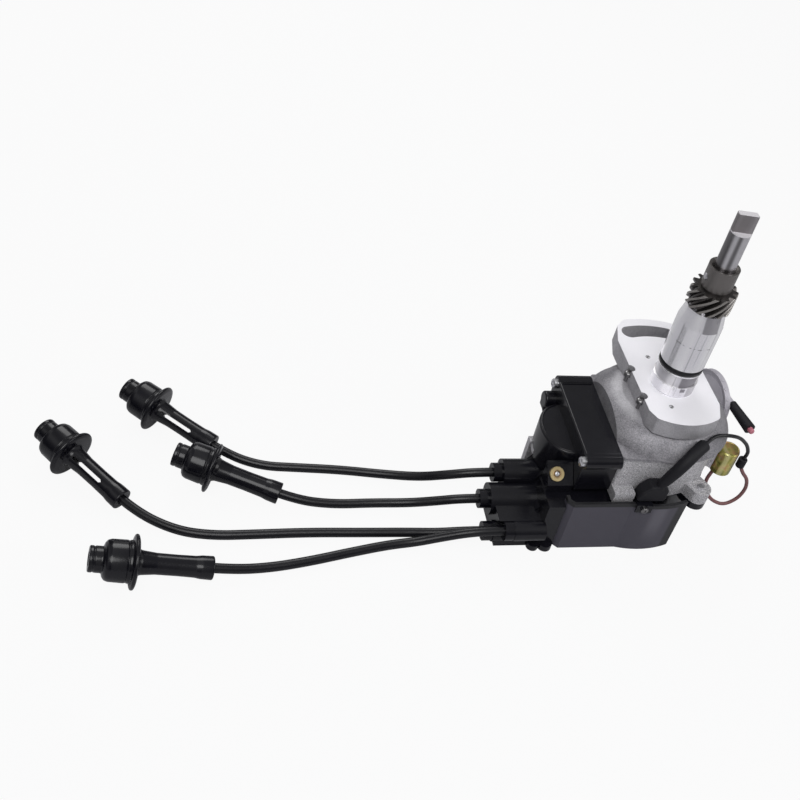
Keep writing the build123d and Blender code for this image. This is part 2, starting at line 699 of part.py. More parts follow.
# ================================================================ distributor cap
cavity_floor_z = floor_z + cap_floor
electrode_inner = rotor_radius + electrode_gap
electrode_length = 7.0
electrode_angles = [45 + 90 * index for index in range(4)]
electrode_low_z = rotor_low_z - rotor_blade_thickness - 2.0
electrode_height = 7.0
post_radius = 5.0
brush_radius = 3.0
brush_top_z = rotor_low_z - rotor_blade_thickness - 0.2
cap_front_y = shield_face_y + shield_wall
wall_left_x = -96.0
upper_block_front_y = -45.0
upper_block_back_y = cradle_y - 2.0
lower_block_left_x = -122.0
lower_block_back_y = -22.0
lower_block_height = 25.0
block_top_z = joint_z - shelf_thickness - part_gap
chimney_height = 16.0
chimney_left_x = -89.5
front_left_x = -90.0
slope_low_z = floor_z + 21.0
slope_top_x = -80.0
chimney_right_x = chamber_face_x - cover_depth - part_gap
chimney_front_y = -44.0
chimney_back_y = bulge_y - bulge_half_width - 2 * part_gap
# Each tower: where its seal ends, its axis and its own radius; the body runs back to root_x
towers = [
    {"end_x": -120.0, "y": -12.0, "z": floor_z + 30.0, "radius": 10.3, "root_x": -80.0},
    {"end_x": -132.0, "y": -29.0, "z": floor_z + 20.0, "radius": 12.0, "root_x": -80.0},
    {"end_x": -131.0, "y": -50.0, "z": floor_z + 8.2, "radius": 8.0, "root_x": -90.0},
    {"end_x": -118.5, "y": -58.5, "z": floor_z + 18.4, "radius": 7.6, "root_x": -88.0},
]
rib_count = 4
rib_pitch = 7.0
rib_start = 16.0
rib_width = 3.0
rib_depth = 3.0
foot_places = [(-92.5, 4.6), (-83.2, 5.4)]

cover_top_z = bell_base_z
cover_low_z = bell_base_z - cover_height
cover_front_y = chamber_front_y + 2.0
shield_low_z = floor_z + 0.6
shield_top_z = joint_z + 3.0
shield_bevel = 4.0
shield_corner_cut = shield_bevel + shield_wall + 2 * part_gap
shield_arc_mid = (0.0, -63.0)
shield_arc_end = (15.0, -59.5)
shield_return = 9.0


with BuildPart() as distributor_cap:
    # bowl with rounded lower edge
    with BuildSketch(Plane.XY.offset(floor_z)):
        with Locations((bowl_offset_x, 0)):
            Circle(bowl_radius + 0.5)
    extrude(amount=cap_height)
    fillet(distributor_cap.faces().sort_by(Axis.Z)[0].edges(), 4)
    # straight front and blocks that lead the four outlets to the towers
    with Locations((front_left_x, cap_front_y, floor_z)):
        Box(bowl_offset_x - 10 - front_left_x, 30, cap_height - 3, align=low_corner)
    with BuildSketch(Plane.XZ.offset(-upper_block_back_y)):
        with BuildLine():
            Polyline((-20, floor_z), (wall_left_x, floor_z), (wall_left_x, slope_low_z),
                     (slope_top_x, block_top_z), (-20, block_top_z), close=True)
        make_face()
    extrude(amount=upper_block_back_y - upper_block_front_y)
    # saddle that fills the space under the front half of the winding bulge
    with BuildSketch(Plane.XY.offset(block_top_z - 1)):
        add(bulge_outline(0.5, cover_depth))
        with Locations((0, shelf_front_y - part_gap)):
            Rectangle(400, 200, align=(Align.CENTER, Align.MAX), mode=Mode.INTERSECT)
    extrude(amount=joint_z - part_gap - block_top_z + 1)
    with Locations((lower_block_left_x, cap_front_y + 1, floor_z)):
        Box(-lower_block_left_x - 60, lower_block_back_y - cap_front_y - 1, lower_block_height,
            align=low_corner)
    # chimney over the coil outlet, chamfered in front
    with BuildSketch(Plane.YZ.offset(chimney_left_x)):
        with BuildLine():
            top_z = joint_z + chimney_height
            Polyline((chimney_front_y, joint_z - 5), (chimney_front_y, top_z - 12),
                     (chimney_front_y + 12, top_z), (chimney_back_y, top_z), (chimney_back_y, joint_z - 5),
                     close=True)
        make_face()
    extrude(amount=chimney_right_x - chimney_left_x)
    # ribs down the sloping outer wall
    for index in range(rib_count):
        with BuildSketch(Plane.XZ.offset(-upper_block_front_y - rib_start - index * rib_pitch)):
            with BuildLine():
                Polyline((wall_left_x + 2, floor_z + 4), (wall_left_x - rib_depth, floor_z + 4),
                         (wall_left_x - rib_depth, slope_low_z), (slope_top_x - rib_depth, block_top_z),
                         (slope_top_x + 2, block_top_z), (wall_left_x + 2, slope_low_z), close=True)
            make_face()
        extrude(amount=-rib_width)
    # towers
    for tower in towers:
        with Locations(Location((tower["root_x"], tower["y"], tower["z"]), (0, -90, 0))):
            body_length = tower["root_x"] - tower["end_x"] - tower_seal_length
            Cylinder(tower["radius"], body_length, align=standing)
    # feet in front
    for foot_x, foot_radius in foot_places:
        with Locations((foot_x, cap_front_y, floor_z)):
            Cylinder(foot_radius, 5, align=standing)
    # ears for the cap screws
    for ear_x, ear_y in ear_places:
        with BuildSketch(Plane.XY.offset(joint_z)):
            ear_outline((ear_x, ear_y))
        extrude(amount=-6)
    # room for the shield's end, the coil shelf and the front seal
    with Locations((shield_left_x - part_gap, cap_front_y - 1, floor_z)):
        Box(shield_corner_cut, shield_return - shield_wall + 1 + part_gap, cap_height,
            align=low_corner, mode=Mode.SUBTRACT)
    with Locations((wall_left_x, shelf_front_y - part_gap, block_top_z)):
        Box(cavity_left_x - 2 - wall_left_x, 60, 20, align=low_corner, mode=Mode.SUBTRACT)
    with Locations(Location((towers[3]["end_x"] + tower_seal_length, towers[3]["y"], towers[3]["z"]),
                            (0, -90, 0))):
        Cylinder(tower_seal_diameter / 2 + part_gap, 40, align=standing, mode=Mode.SUBTRACT)
    # inside: rotor room, posts for the electrodes, bore for the brush
    with BuildSketch(Plane.XY.offset(cavity_floor_z)):
        with Locations((bowl_offset_x, 0)):
            Circle(cavity_radius)
        with Locations((cavity_left_x, 0)):
            Rectangle(200, 200, align=(Align.MIN, Align.CENTER), mode=Mode.INTERSECT)
    extrude(amount=cap_height, mode=Mode.SUBTRACT)
    for angle in electrode_angles:
        with Locations(Location((0, 0, cavity_floor_z - 1), (0, 0, angle))):
            with Locations((electrode_inner + 2.0 + post_radius, 0, 0)):
                Cylinder(post_radius, electrode_low_z + electrode_height - cavity_floor_z + 3, align=standing)
        with Locations(Location((0, 0, electrode_low_z), (0, 0, angle))):
            with Locations((electrode_inner, 0, 0)):
                Box(electrode_length, 5, electrode_height, mode=Mode.SUBTRACT,
                    align=(Align.MIN, Align.CENTER, Align.MIN))
    with Locations((0, 0, cavity_floor_z - 1)):
        Cylinder(brush_radius + 2.5, 4, align=standing)
    with Locations((0, 0, cavity_floor_z - 3)):
        Cylinder(brush_radius + sliding_clearance, 40, align=standing, mode=Mode.SUBTRACT)
    for ear_x, ear_y in ear_places:
        with Locations((ear_x, ear_y, joint_z)):
            Cylinder(screw_diameter / 2 + 0.2, 40, mode=Mode.SUBTRACT)
save(distributor_cap.part, "distributor_cap")

with BuildPart() as cap_electrodes:
    for angle in electrode_angles:
        with Locations(Location((0, 0, electrode_low_z), (0, 0, angle))):
            with Locations((electrode_inner, 0, 0)):
                Box(electrode_length, 5, electrode_height, align=(Align.MIN, Align.CENTER, Align.MIN))
save(cap_electrodes.part, "cap_electrodes")

with BuildPart() as centre_brush:
    with Locations((0, 0, cavity_floor_z - 1)):
        Cylinder(brush_radius, brush_top_z - cavity_floor_z + 1, align=standing)
save(centre_brush.part, "centre_brush")

with BuildPart() as brush_spring:
    with Locations((0, 0, cavity_floor_z - 3)):
        Cylinder(brush_radius - 0.2, 2, align=standing)
        Cylinder(brush_radius - 1.0, 2, align=standing, mode=Mode.SUBTRACT)
save(brush_spring.part, "brush_spring")

with BuildPart() as tower_seals:
    for tower in towers:
        with Locations(Location((tower["end_x"], tower["y"], tower["z"]), (0, 90, 0))):
            Cylinder(tower_seal_diameter / 2, tower_seal_length, align=standing)
            Cylinder(lead_diameter / 2 + 0.05, tower_seal_length, align=standing, mode=Mode.SUBTRACT)
save(tower_seals.part, "tower_seals")

# ================================================================ coil and its cover
core_x = chamber_face_x - 10.0
core_stack = 8.0
core_leg = 8.0
core_front_y = cover_front_y + cover_wall + 6.0
core_back_y = chamber_back_y - 14.0
core_top_z = cover_top_z - cover_wall - 6.0
core_low_z = cover_low_z + cover_wall


with BuildPart() as coil_cover:
    with BuildSketch(Plane.YZ.offset(cover_left_x)):
        with BuildLine():
            Polyline((cover_front_y, cover_low_z), (cover_front_y, cover_top_z),
                     (chamber_back_y, cover_top_z), (chamber_back_y, cover_low_z), close=True)
        make_face()
        fillet(vertices(), 3)
    extrude(amount=cover_depth)
    fillet(coil_cover.faces().sort_by(Axis.X)[0].edges(), 1.2)
    with BuildSketch(Plane.YZ.offset(cover_left_x)):
        with Locations(cover_screw_places[0], cover_screw_places[1]):
            Circle(cover_boss_radius)
    extrude(amount=cover_depth)
    with BuildSketch(Plane.XY.offset(cover_low_z)):
        add(bulge_outline(0, cover_wall))
    extrude(amount=bulge_top_z - cover_low_z)
    fillet(coil_cover.edges().filter_by(GeomType.ELLIPSE).sort_by(Axis.Z)[-1], 1.5)
    # hollow, open towards the chamber
    with BuildSketch(Plane.YZ.offset(cover_left_x + cover_wall)):
        with BuildLine():
            Polyline((cover_front_y + cover_wall, cover_low_z + cover_wall),
                     (cover_front_y + cover_wall, cover_top_z - 2 * cover_boss_radius),
                     (cover_front_y + 3 * cover_boss_radius, cover_top_z - cover_wall),
                     (chamber_back_y - 2.4 * cover_boss_radius, cover_top_z - cover_wall),
                     (chamber_back_y - 2.4 * cover_boss_radius, cover_low_z + cover_wall), close=True)
        make_face()
    extrude(amount=cover_depth, mode=Mode.SUBTRACT)
    with BuildSketch(Plane.XY.offset(cover_low_z + cover_wall)):
        add(bulge_outline(cover_wall, cover_wall + 1))
    extrude(amount=bulge_top_z - cover_low_z - 2 * cover_wall, mode=Mode.SUBTRACT)
    # screw holes with seats for the heads
    for screw_y, screw_z in cover_screw_places:
        with Locations(Location((cover_left_x, screw_y, screw_z), (0, 90, 0))):
            Cylinder(cover_screw_diameter / 2 + 0.2, 200, mode=Mode.SUBTRACT)
save(coil_cover.part, "coil_cover")

with BuildPart() as cover_screws:
    for screw_y, screw_z in cover_screw_places:
        with Locations(Location((cover_left_x, screw_y, screw_z), (0, -90, 0))):
            Cylinder(cover_screw_head_diameter / 2, 2.6, align=standing)
        with Locations(Location((cover_left_x, screw_y, screw_z), (0, 90, 0))):
            Cylinder(cover_screw_diameter / 2 - 0.05, cover_depth + 6, align=standing)
save(cover_screws.part, "cover_screws")

with BuildPart() as coil_core:
    with BuildSketch(Plane.YZ.offset(core_x - core_stack)):
        with Locations(((core_front_y + core_back_y) / 2, (core_top_z + core_low_z) / 2)):
            Rectangle(core_back_y - core_front_y, core_top_z - core_low_z)
            Rectangle(core_back_y - core_front_y - 2 * core_leg, core_top_z - core_low_z - core_leg,
                      mode=Mode.SUBTRACT)
    extrude(amount=core_stack)
save(coil_core.part, "coil_core")

winding_left_x = cover_left_x + cover_wall + 1.0
with BuildPart() as coil_winding:
    with Locations((winding_left_x, (core_front_y + core_back_y) / 2, (core_top_z + core_low_z) / 2)):
        Box(chamber_face_x - 1.5 - winding_left_x, core_back_y - core_front_y - 2 * core_leg - part_gap,
            core_top_z - core_low_z - core_leg - part_gap, align=(Align.MIN, Align.CENTER, Align.CENTER))
    fillet(coil_winding.edges().filter_by(Axis.X), 5)
save(coil_winding.part, "coil_winding")

lobe_y = chamber_back_y - 9.0
lobe_radius = 6.4
lobe_reach = 8.0
lobe_z = bulge_top_z - 4.0
with BuildPart() as coil_connector:
    with Locations(Location((cover_left_x, lobe_y, lobe_z), (0, -90, 0))):
        Cylinder(lobe_radius, lobe_reach, align=standing)
    with Locations((cover_left_x, lobe_y, lobe_z)):
        Box(lobe_reach, 1.5 * lobe_radius, 1.3 * lobe_radius, align=(Align.MAX, Align.CENTER, Align.MAX))
    fillet(coil_connector.faces().sort_by(Axis.X)[0].edges(), 1.5)
save(coil_connector.part, "coil_connector")

# Brass insert in the chamfer in front of the chimney
insert_radius = 5.3
insert_x = chimney_right_x - 12.6
insert_centre = (insert_x, chimney_front_y + 6.0, joint_z + chimney_height - 6.0)
insert_place = Location(insert_centre, (45, 0, 0))
with BuildPart() as terminal_insert:
    with Locations(insert_place):
        Cylinder(insert_radius, 1.6, align=standing)
        with Locations((0, 0, 0.6)):
            Cylinder(2.6, 2.0, align=standing, mode=Mode.SUBTRACT)
save(terminal_insert.part, "terminal_insert")

# ================================================================ splash shield
clip_x = -20.5
clip_face_y = shield_face_y - 1.7
clip_turn = -4.5
clip_width = 12.0
clip_thickness = 1.2
clip_drop = 7.5
clip_reach = 5.5
clip_screw_diameter = 3.0
clip_screw_z = shield_top_z - 2.2
with BuildPart() as splash_shield:
    with BuildSketch(Plane.XY.offset(shield_low_z)):
        with BuildLine():
            corner = (shield_left_x, shield_face_y + shield_bevel)
            front_start = (shield_left_x + shield_bevel, shield_face_y)
            front_end = (shield_corner_x, shield_face_y)
            Line((shield_left_x, shield_face_y + shield_return), corner)
            Line(corner, front_start)
            Line(front_start, front_end)
            ThreePointArc(front_end, shield_arc_mid, shield_arc_end)
            offset(amount=shield_wall, side=Side.LEFT)
        make_face()
    extrude(amount=shield_top_z - shield_low_z)
    with Locations(Location((clip_x, clip_face_y, 0), (0, 0, clip_turn)) * Location((0, 0, clip_screw_z),
                                                                                   (90, 0, 0))):
        Cylinder(clip_screw_diameter / 2 + 0.1, 20, mode=Mode.SUBTRACT)
save(splash_shield.part, "splash_shield")

# ================================================================ condenser
can_place = (condenser_place[0], condenser_place[1], condenser_low_z)
with BuildPart() as condenser_can:
    with Locations(can_place):
        Cylinder(condenser_diameter / 2, condenser_length, align=standing)
    fillet(condenser_can.faces().sort_by(Axis.Z)[-1].edges(), 1.0)
    fillet(condenser_can.faces().sort_by(Axis.Z)[0].edges(), 0.8)
save(condenser_can.part, "condenser_can")

with BuildPart() as condenser_bracket:
    with Locations(Location((bowl_offset_x, 0, bracket_z), (0, 0, condenser_angle))):
        with Locations((pad_reach, 0, 0)):
            Box(bracket_thickness, 11, 16, align=(Align.MIN, Align.CENTER, Align.CENTER))
save(condenser_bracket.part, "condenser_bracket")

# ================================================================ cap and igniter fasteners
with BuildPart() as cap_screws:
    for ear_x, ear_y in ear_places:
        with Locations((ear_x, ear_y, joint_z - 6)):
            Cylinder(screw_head_diameter / 2, screw_head_height, align=hanging)
        with Locations((ear_x, ear_y, joint_z - 6)):
            Cylinder(screw_diameter / 2, ear_thickness + 6 + 1.5, align=standing)
save(cap_screws.part, "cap_screws")

igniter_size = (34.0, 7.0, 20.0)
igniter_y = running_clearance - sqrt(cavity_radius**2 - (igniter_size[0] / 2) ** 2)
igniter_place = (bowl_offset_x, igniter_y, joint_z + 6.0)
with BuildPart() as igniter:
    with Locations(igniter_place):
        Box(*igniter_size, align=(Align.CENTER, Align.MIN, Align.MIN))
    fillet(igniter.edges().filter_by(Axis.Y), 2)
save(igniter.part, "igniter")

# ================================================================ plug leads and boots
lead_radius = lead_diameter / 2
rest_z = floor_z + lead_radius + 0.1
boot_axis_z = floor_z + boot_flange_diameter / 2
boot_tail_z = floor_z + boot_tail_diameter / 2 + 1.4
boot_tilt = degrees(atan2(boot_axis_z - boot_tail_z, boot_tail_length))
# Each boot: where its flange stands and the heading from its tail to its nose
boots = [
    {"x": -366.0, "y": 64.0, "heading": 145.0},
    {"x": -325.0, "y": 3.0, "heading": 161.0},
    {"x": -424.0, "y": 17.0, "heading": 136.0},
    {"x": -376.0, "y": -80.0, "heading": -179.0},
]


def boot_place(boot):
    """Give the place of a boot whose local +Z runs from its tail to its nose."""
    standing_place = Location((boot["x"], boot["y"], boot_axis_z), (0, 0, boot["heading"]))
    return standing_place * Location((0, 0, 0), (0, 90 - boot_tilt, 0))


lead_bore_radius = lead_radius + 0.05
for index, boot in enumerate(boots):
    with BuildPart() as plug_boot:
        with BuildSketch(Plane.XZ):
            with BuildLine():
                flange = boot_flange_diameter / 2
                body = boot_body_diameter / 2
                nose = boot_nose_diameter / 2
                tail = boot_tail_diameter / 2
                Polyline((lead_bore_radius, -boot_tail_length), (tail + 0.8, -boot_tail_length),
                         (tail + 0.8, -boot_tail_length + 4), (tail - 0.6, -boot_tail_length + 5),
                         (tail + 1.2, -20), (body - 2, -13), (body - 1, -boot_flange_thickness / 2),
                         (flange, -boot_flange_thickness / 2), (flange, boot_flange_thickness / 2),
                         (body, boot_flange_thickness / 2), (body, 10), (body - 2.5, 16),
                         (nose, 20), (nose, boot_nose_length), (boot_socket_diameter / 2, boot_nose_length),
                         (boot_socket_diameter / 2, boot_nose_length - boot_socket_depth),
                         (0, boot_nose_length - boot_socket_depth), (0, lead_grip - boot_tail_length),
                         (lead_bore_radius, lead_grip - boot_tail_length), close=True)
            make_face()
        revolve(axis=Axis.Z)
    plug_boot.part.location = boot_place(boot)
    save(plug_boot.part, f"plug_boot_{index + 1}")


def corner_radii(points):
    """Give the largest arc each corner of a route can take without crowding its neighbours."""
    vectors = [Vector(*point) for point in points]
    radii = []
    for before, corner, after in zip(vectors, vectors[1:], vectors[2:]):
        run_in = corner - before
        run_out = after - corner
        half_turn = radians(run_in.get_angle(run_out)) / 2
        radii.append(0.45 * min(run_in.length, run_out.length) / tan(half_turn))
    return radii


def cord(points, diameter, name):
    """Make one round cord along a route of straight runs and tangent arcs."""
    radii = corner_radii(points)
    print(name, "arc radii", [round(radius, 1) for radius in radii])
    with BuildPart() as tube:
        with BuildLine() as route:
            FilletPolyline(*points, radius=radii)
        heading = Vector(*points[1]) - Vector(*points[0])
        with BuildSketch(Plane(origin=points[0], z_dir=heading)):
            Circle(diameter / 2)
        sweep(path=route.line)
    length = sum(edge.length for edge in route.edges())
    section = pi * diameter**2 / 4
    print(name, "length", round(length, 1), "volume ratio", round(tube.part.volume / section / length, 4))
    save(tube.part, name)


# Middle points of each lead, from its tower to its boot; the last ones lie on the floor
lead_middles = [
    [(-151.0, -8.5, -89.5), (-171.0, 0.5, -102.0), (-197.0, 10.0, rest_z), (-229.0, 14.5, rest_z),
     (-262.0, 16.8, rest_z), (-289.0, 18.6, rest_z)],
    [(-161.0, -25.5, -99.5), (-181.0, -20.5, -107.5), (-208.0, -18.6, rest_z), (-238.0, -19.6, rest_z)],
    [(-163.0, -48.2, -108.6), (-185.0, -46.8, rest_z), (-220.0, -46.4, rest_z), (-258.0, -45.6, rest_z),
     (-295.0, -46.6, rest_z), (-325.0, -47.2, rest_z), (-351.0, -42.0, rest_z)],
    [(-147.0, -58.2, -97.0), (-163.0, -57.0, -102.6), (-180.0, -56.4, -108.3), (-201.0, -58.0, rest_z),
     (-229.0, -64.0, rest_z), (-260.0, -71.3, rest_z), (-288.0, -76.0, rest_z)],
]
for index, (tower, boot, middle) in enumerate(zip(towers, boots, lead_middles)):
    tower_face_x = tower["end_x"] + tower_seal_length
    tower_start = [(tower_face_x, tower["y"], tower["z"]),
                   (tower["end_x"] - lead_exit, tower["y"], tower["z"])]
    outside = boot_place(boot) * Location((0, 0, -boot_tail_length - lead_exit))
    inside = boot_place(boot) * Location((0, 0, -boot_tail_length + lead_grip))
    boot_end = [tuple(outside.position), tuple(inside.position)]
    cord(tower_start + middle + boot_end, lead_diameter, f"plug_lead_{index + 1}")

# ================================================================ wiring of the condenser
sleeve_diameter = 6.6
wire_diameter = 2.8
# Middle line of the sleeve, from inside its grommet up and round the shoulder of the bell
sleeve_points = [(-14.0, -56.6, -53.0), (-9.5, -57.9, -40.5), (-3.0, -58.2, -26.0),
                 (6.8, -52.0, -18.2), (14.5, -46.6, -16.8)]
cord(sleeve_points, sleeve_diameter, "harness_sleeve")

grommet_left_x = band_right_x + part_gap
grommet_right_x = -5.0
grommet_low_z = shield_top_z + 2.0
grommet_top_z = -46.0
grommet_front_y = -61.0
sleeve_run = Vector(*sleeve_points[1]) - Vector(*sleeve_points[0])
with BuildPart() as sleeve_grommet:
    with BuildSketch(Plane.XZ.offset(-grommet_front_y)):
        with BuildLine():
            Polyline((grommet_left_x, grommet_low_z), (grommet_left_x + 2.5, grommet_low_z + 9),
                     (grommet_left_x + 8, grommet_top_z), (grommet_right_x - 3, grommet_top_z),
                     (grommet_right_x, grommet_top_z - 4), (grommet_right_x, grommet_low_z), close=True)
        make_face()
        fillet(vertices(), 2)
    extrude(amount=-12)
    fillet(sleeve_grommet.faces().sort_by(Axis.Y)[0].edges(), 1.5)
    with BuildSketch(Plane(origin=sleeve_points[0], z_dir=sleeve_run)):
        Circle(sleeve_diameter / 2 + 0.05)
    extrude(amount=30, mode=Mode.SUBTRACT)
    with Locations((bowl_offset_x, 0, joint_z)):
        Cylinder(bowl_radius + part_gap, 60, align=standing, mode=Mode.SUBTRACT)
    with Locations((chamber_face_x, 0, joint_z)):
        Box(-chamber_face_x, -chamber_front_y + 3 + part_gap, 60, mode=Mode.SUBTRACT,
            align=(Align.MIN, Align.MAX, Align.MIN))
save(sleeve_grommet.part, "sleeve_grommet")

# Wires: black from the sleeve to the splice beside the can, brown from there to the can
black_points = [sleeve_points[-1], (25.7, -38.75, -14.76), (39.0, -36.5, -17.0), (52.0, -32.3, -23.8),
                (62.5, -30.0, -34.0), (67.6, -29.0, -43.5), (66.3, -28.8, -51.5)]
brown_points = [(66.6, -28.8, -56.0), (71.5, -29.0, -64.5), (79.5, -29.0, -73.0), (82.8, -29.0, -84.0),
                (80.5, -29.0, -95.5), (71.5, -29.0, -103.0), (60.0, -28.2, -98.5),
                (51.0, -27.0, -88.5), (47.0, -26.0, -77.0), (49.5, -25.3, condenser_low_z - 0.4)]
cord(black_points, wire_diameter, "condenser_wire_black")
cord(brown_points, wire_diameter, "condenser_wire_brown")

splice_radius = 3.4
splice_grip = 2.0
splice_top_z = black_points[-1][2] + splice_grip
splice_low_z = brown_points[0][2] - splice_grip
splice_ends = [(black_points[-1], black_points[-2]), (brown_points[0], brown_points[1])]
with BuildPart() as wire_splice:
    with Locations(((black_points[-1][0] + brown_points[0][0]) / 2, brown_points[0][1], splice_low_z)):
        Cylinder(splice_radius, splice_top_z - splice_low_z, align=standing)
    fillet(wire_splice.edges(), 1)
    for inner_end, outer_end in splice_ends:
        with BuildSketch(Plane(origin=inner_end, z_dir=Vector(*outer_end) - Vector(*inner_end))):
            Circle(wire_diameter / 2 + 0.05)
        extrude(amount=10, mode=Mode.SUBTRACT)
save(wire_splice.part, "wire_splice")

# Clip over the top edge of the shield, with its screw, turned to follow the curved face
clip_face = Location((clip_x, clip_face_y, 0), (0, 0, clip_turn))
clip_screw_line = clip_face * Location((0, 0, clip_screw_z), (90, 0, 0))
with BuildPart() as shield_clip:
    with Locations(clip_face):
        with Locations((0, -part_gap, shield_top_z + part_gap + clip_thickness)):
            Box(clip_width, clip_thickness, clip_drop, align=(Align.CENTER, Align.MAX, Align.MAX))
        with Locations((0, -part_gap - clip_thickness, shield_top_z + part_gap)):
            Box(clip_width, clip_reach, clip_thickness, align=(Align.CENTER, Align.MIN, Align.MIN))
    with Locations(clip_screw_line):
        Cylinder(clip_screw_diameter / 2 + 0.1, 20, mode=Mode.SUBTRACT)
save(shield_clip.part, "shield_clip")

with BuildPart() as clip_screw:
    with Locations(clip_screw_line * Location((0, 0, part_gap + clip_thickness))):
        Cylinder(clip_screw_diameter * 0.9, 1.6, align=standing)
        Cylinder(clip_screw_diameter / 2, clip_thickness + part_gap + shield_wall + 2, align=hanging)
save(clip_screw.part, "clip_screw")
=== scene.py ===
"""Dresses the ignition distributor: finishes, boots, leads, sleeve, screws, spring, stage and camera.

It is laid out as an add-on, and it runs as a script. Every length is in metres, in the
frame of the solids: origin on the shaft axis at the flange face, +Z towards the drive gear.
"""
import json
from math import cos, pi, radians, sin

import bmesh
import bpy
from mathutils import Matrix, Vector


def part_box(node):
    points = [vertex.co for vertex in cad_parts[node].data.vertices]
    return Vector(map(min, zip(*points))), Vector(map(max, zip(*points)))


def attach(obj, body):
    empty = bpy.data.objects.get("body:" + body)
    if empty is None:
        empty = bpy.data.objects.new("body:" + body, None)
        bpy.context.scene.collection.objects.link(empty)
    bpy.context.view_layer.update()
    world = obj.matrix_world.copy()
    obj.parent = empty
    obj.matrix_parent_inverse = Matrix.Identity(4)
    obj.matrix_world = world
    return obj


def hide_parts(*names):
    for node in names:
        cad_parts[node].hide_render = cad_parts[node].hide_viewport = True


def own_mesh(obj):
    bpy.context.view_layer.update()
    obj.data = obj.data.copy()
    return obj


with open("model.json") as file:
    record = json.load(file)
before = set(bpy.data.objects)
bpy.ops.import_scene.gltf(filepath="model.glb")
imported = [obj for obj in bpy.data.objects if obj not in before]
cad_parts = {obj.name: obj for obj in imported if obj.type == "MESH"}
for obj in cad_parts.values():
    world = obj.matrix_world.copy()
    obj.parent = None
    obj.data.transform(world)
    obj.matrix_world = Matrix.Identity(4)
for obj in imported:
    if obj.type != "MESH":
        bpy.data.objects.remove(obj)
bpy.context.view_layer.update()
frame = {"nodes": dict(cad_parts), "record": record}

bl_info = {
    "name": "Ignition distributor dressing",
    "version": (1, 0, 0),
    "blender": (4, 5, 0),
    "location": "View3D > Sidebar > Distributor",
    "description": "Dresses the solids of an ignition distributor with finishes and fine pieces",
    "category": "Object",
}

MM = 0.001
ROOT = "distributor"
FLOOR_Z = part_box("distributor_cap")[0].z

# Middle lines of the four plug leads, from tower to boot, in millimetres
LEAD_ROUTES = [
    [
        (-113, -12, -83), (-132, -12, -83), (-151, -8.5, -89.5), (-171, 0.5, -102),
        (-197, 10, -109.4), (-229, 14.5, -109.4), (-262, 16.8, -109.4), (-289, 18.6, -109.4),
        (-314.48, 27.93, -106.35), (-332.19, 40.33, -102.28),
    ],
    [
        (-125, -29, -93), (-144, -29, -93), (-161, -25.5, -99.5), (-181, -20.5, -107.5),
        (-208, -18.6, -109.4), (-238, -19.6, -109.4), (-265.53, -17.48, -106.35),
        (-285.98, -10.44, -102.28),
    ],
    [
        (-124, -50, -104.8), (-143, -50, -104.8), (-163, -48.2, -108.6), (-185, -46.8, -109.4),
        (-220, -46.4, -109.4), (-258, -45.6, -109.4), (-295, -46.6, -109.4), (-325, -47.2, -109.4),
        (-351, -42, -109.4), (-378.76, -26.69, -106.35), (-394.31, -11.67, -102.28),
    ],
    [
        (-111.5, -58.5, -94.6), (-130.5, -58.5, -94.6), (-147, -58.2, -97), (-163, -57, -102.6),
        (-180, -56.4, -108.3), (-201, -58, -109.4), (-229, -64, -109.4), (-260, -71.3, -109.4),
        (-288, -76, -109.4), (-313.12, -78.9, -106.35), (-334.73, -79.28, -102.28),
    ],
]
BOOT_PLACES = [
    # x, y, z of the flange, heading and tilt in degrees
    (-366, 64, -94.5, 145, 10.673),
    (-325, 3, -94.5, 161, 10.673),
    (-424, 17, -94.5, 136, 10.673),
    (-376, -80, -94.5, -179, 10.673),
]
# Middle line of the harness sleeve, its outside diameter and the share of it at each point
SLEEVE_ROUTE = [(-14.0, -56.6, -53.0), (-9.5, -57.9, -40.5), (-3.0, -58.2, -26.0),
                (6.8, -52.0, -18.2), (14.5, -46.6, -16.8)]
SLEEVE_DIAMETER = 9.4
SLEEVE_SHARES = [0.68, 0.92, 1.0, 1.0, 1.0]
# The pull window through a boot's tail: across the tail and along it, and its turn about each boot
WINDOW_OUTLINE = [(-0.3, -32.5), (0.9, -34.0), (2.2, -32.5), (2.2, -7.0), (0.9, -5.5), (-0.3, -7.0)]
WINDOW_TURNS = [54.0, -40.0, 63.0, -37.0]
# The cutter of a window reaches this far to both sides of the boot's axis
WINDOW_REACH = 20

# Screw places: a point on the head's top and the way it looks
COVER_SCREWS = [((-72.6, -45.5, -34.9), (-1, 0, 0)), ((-72.6, 33.5, -33.5), (-1, 0, 0)),
                ((-72.6, 33.5, -61.0), (-1, 0, 0))]
CAP_SCREWS = [((25.0, -51.5, -75.2), (0, 0, -1)), ((30.0, 46.0, -75.2), (0, 0, -1)),
              ((-31.0, 52.0, -75.2), (0, 0, -1))]
POCKET_SCREWS = [((-27.0, -14.0, -4.3), (0, 0, 1)), ((-27.0, 15.0, -4.3), (0, 0, 1))]
# Vacuum canister: its axis runs at this heading, in degrees, through this height
CANISTER_HEADING = 8.0
CANISTER_AXIS_Z = -45.5
CANISTER_OFFSET = 24.0
CANISTER_RIM_REACH = 65.0
# Spring behind the diaphragm: its two ends along the canister axis, its middle radius, its wire,
# its turns, the points on each turn and how far the diaphragm presses it
SPRING_SPAN = (65.4, 74.4)
SPRING_RADIUS = 6.75
SPRING_WIRE = 1.4
SPRING_COILS = 4.5
SPRING_POINTS = 16
VACUUM_TRAVEL = 3.4
# Winding bulge on the coil cover: the middle of its straight side, half its width and its depth
BULGE_CENTRE = (-70.0, -4.25, -43.0)
BULGE_HALF_WIDTH = 25.5
BULGE_DEPTH = 19.5
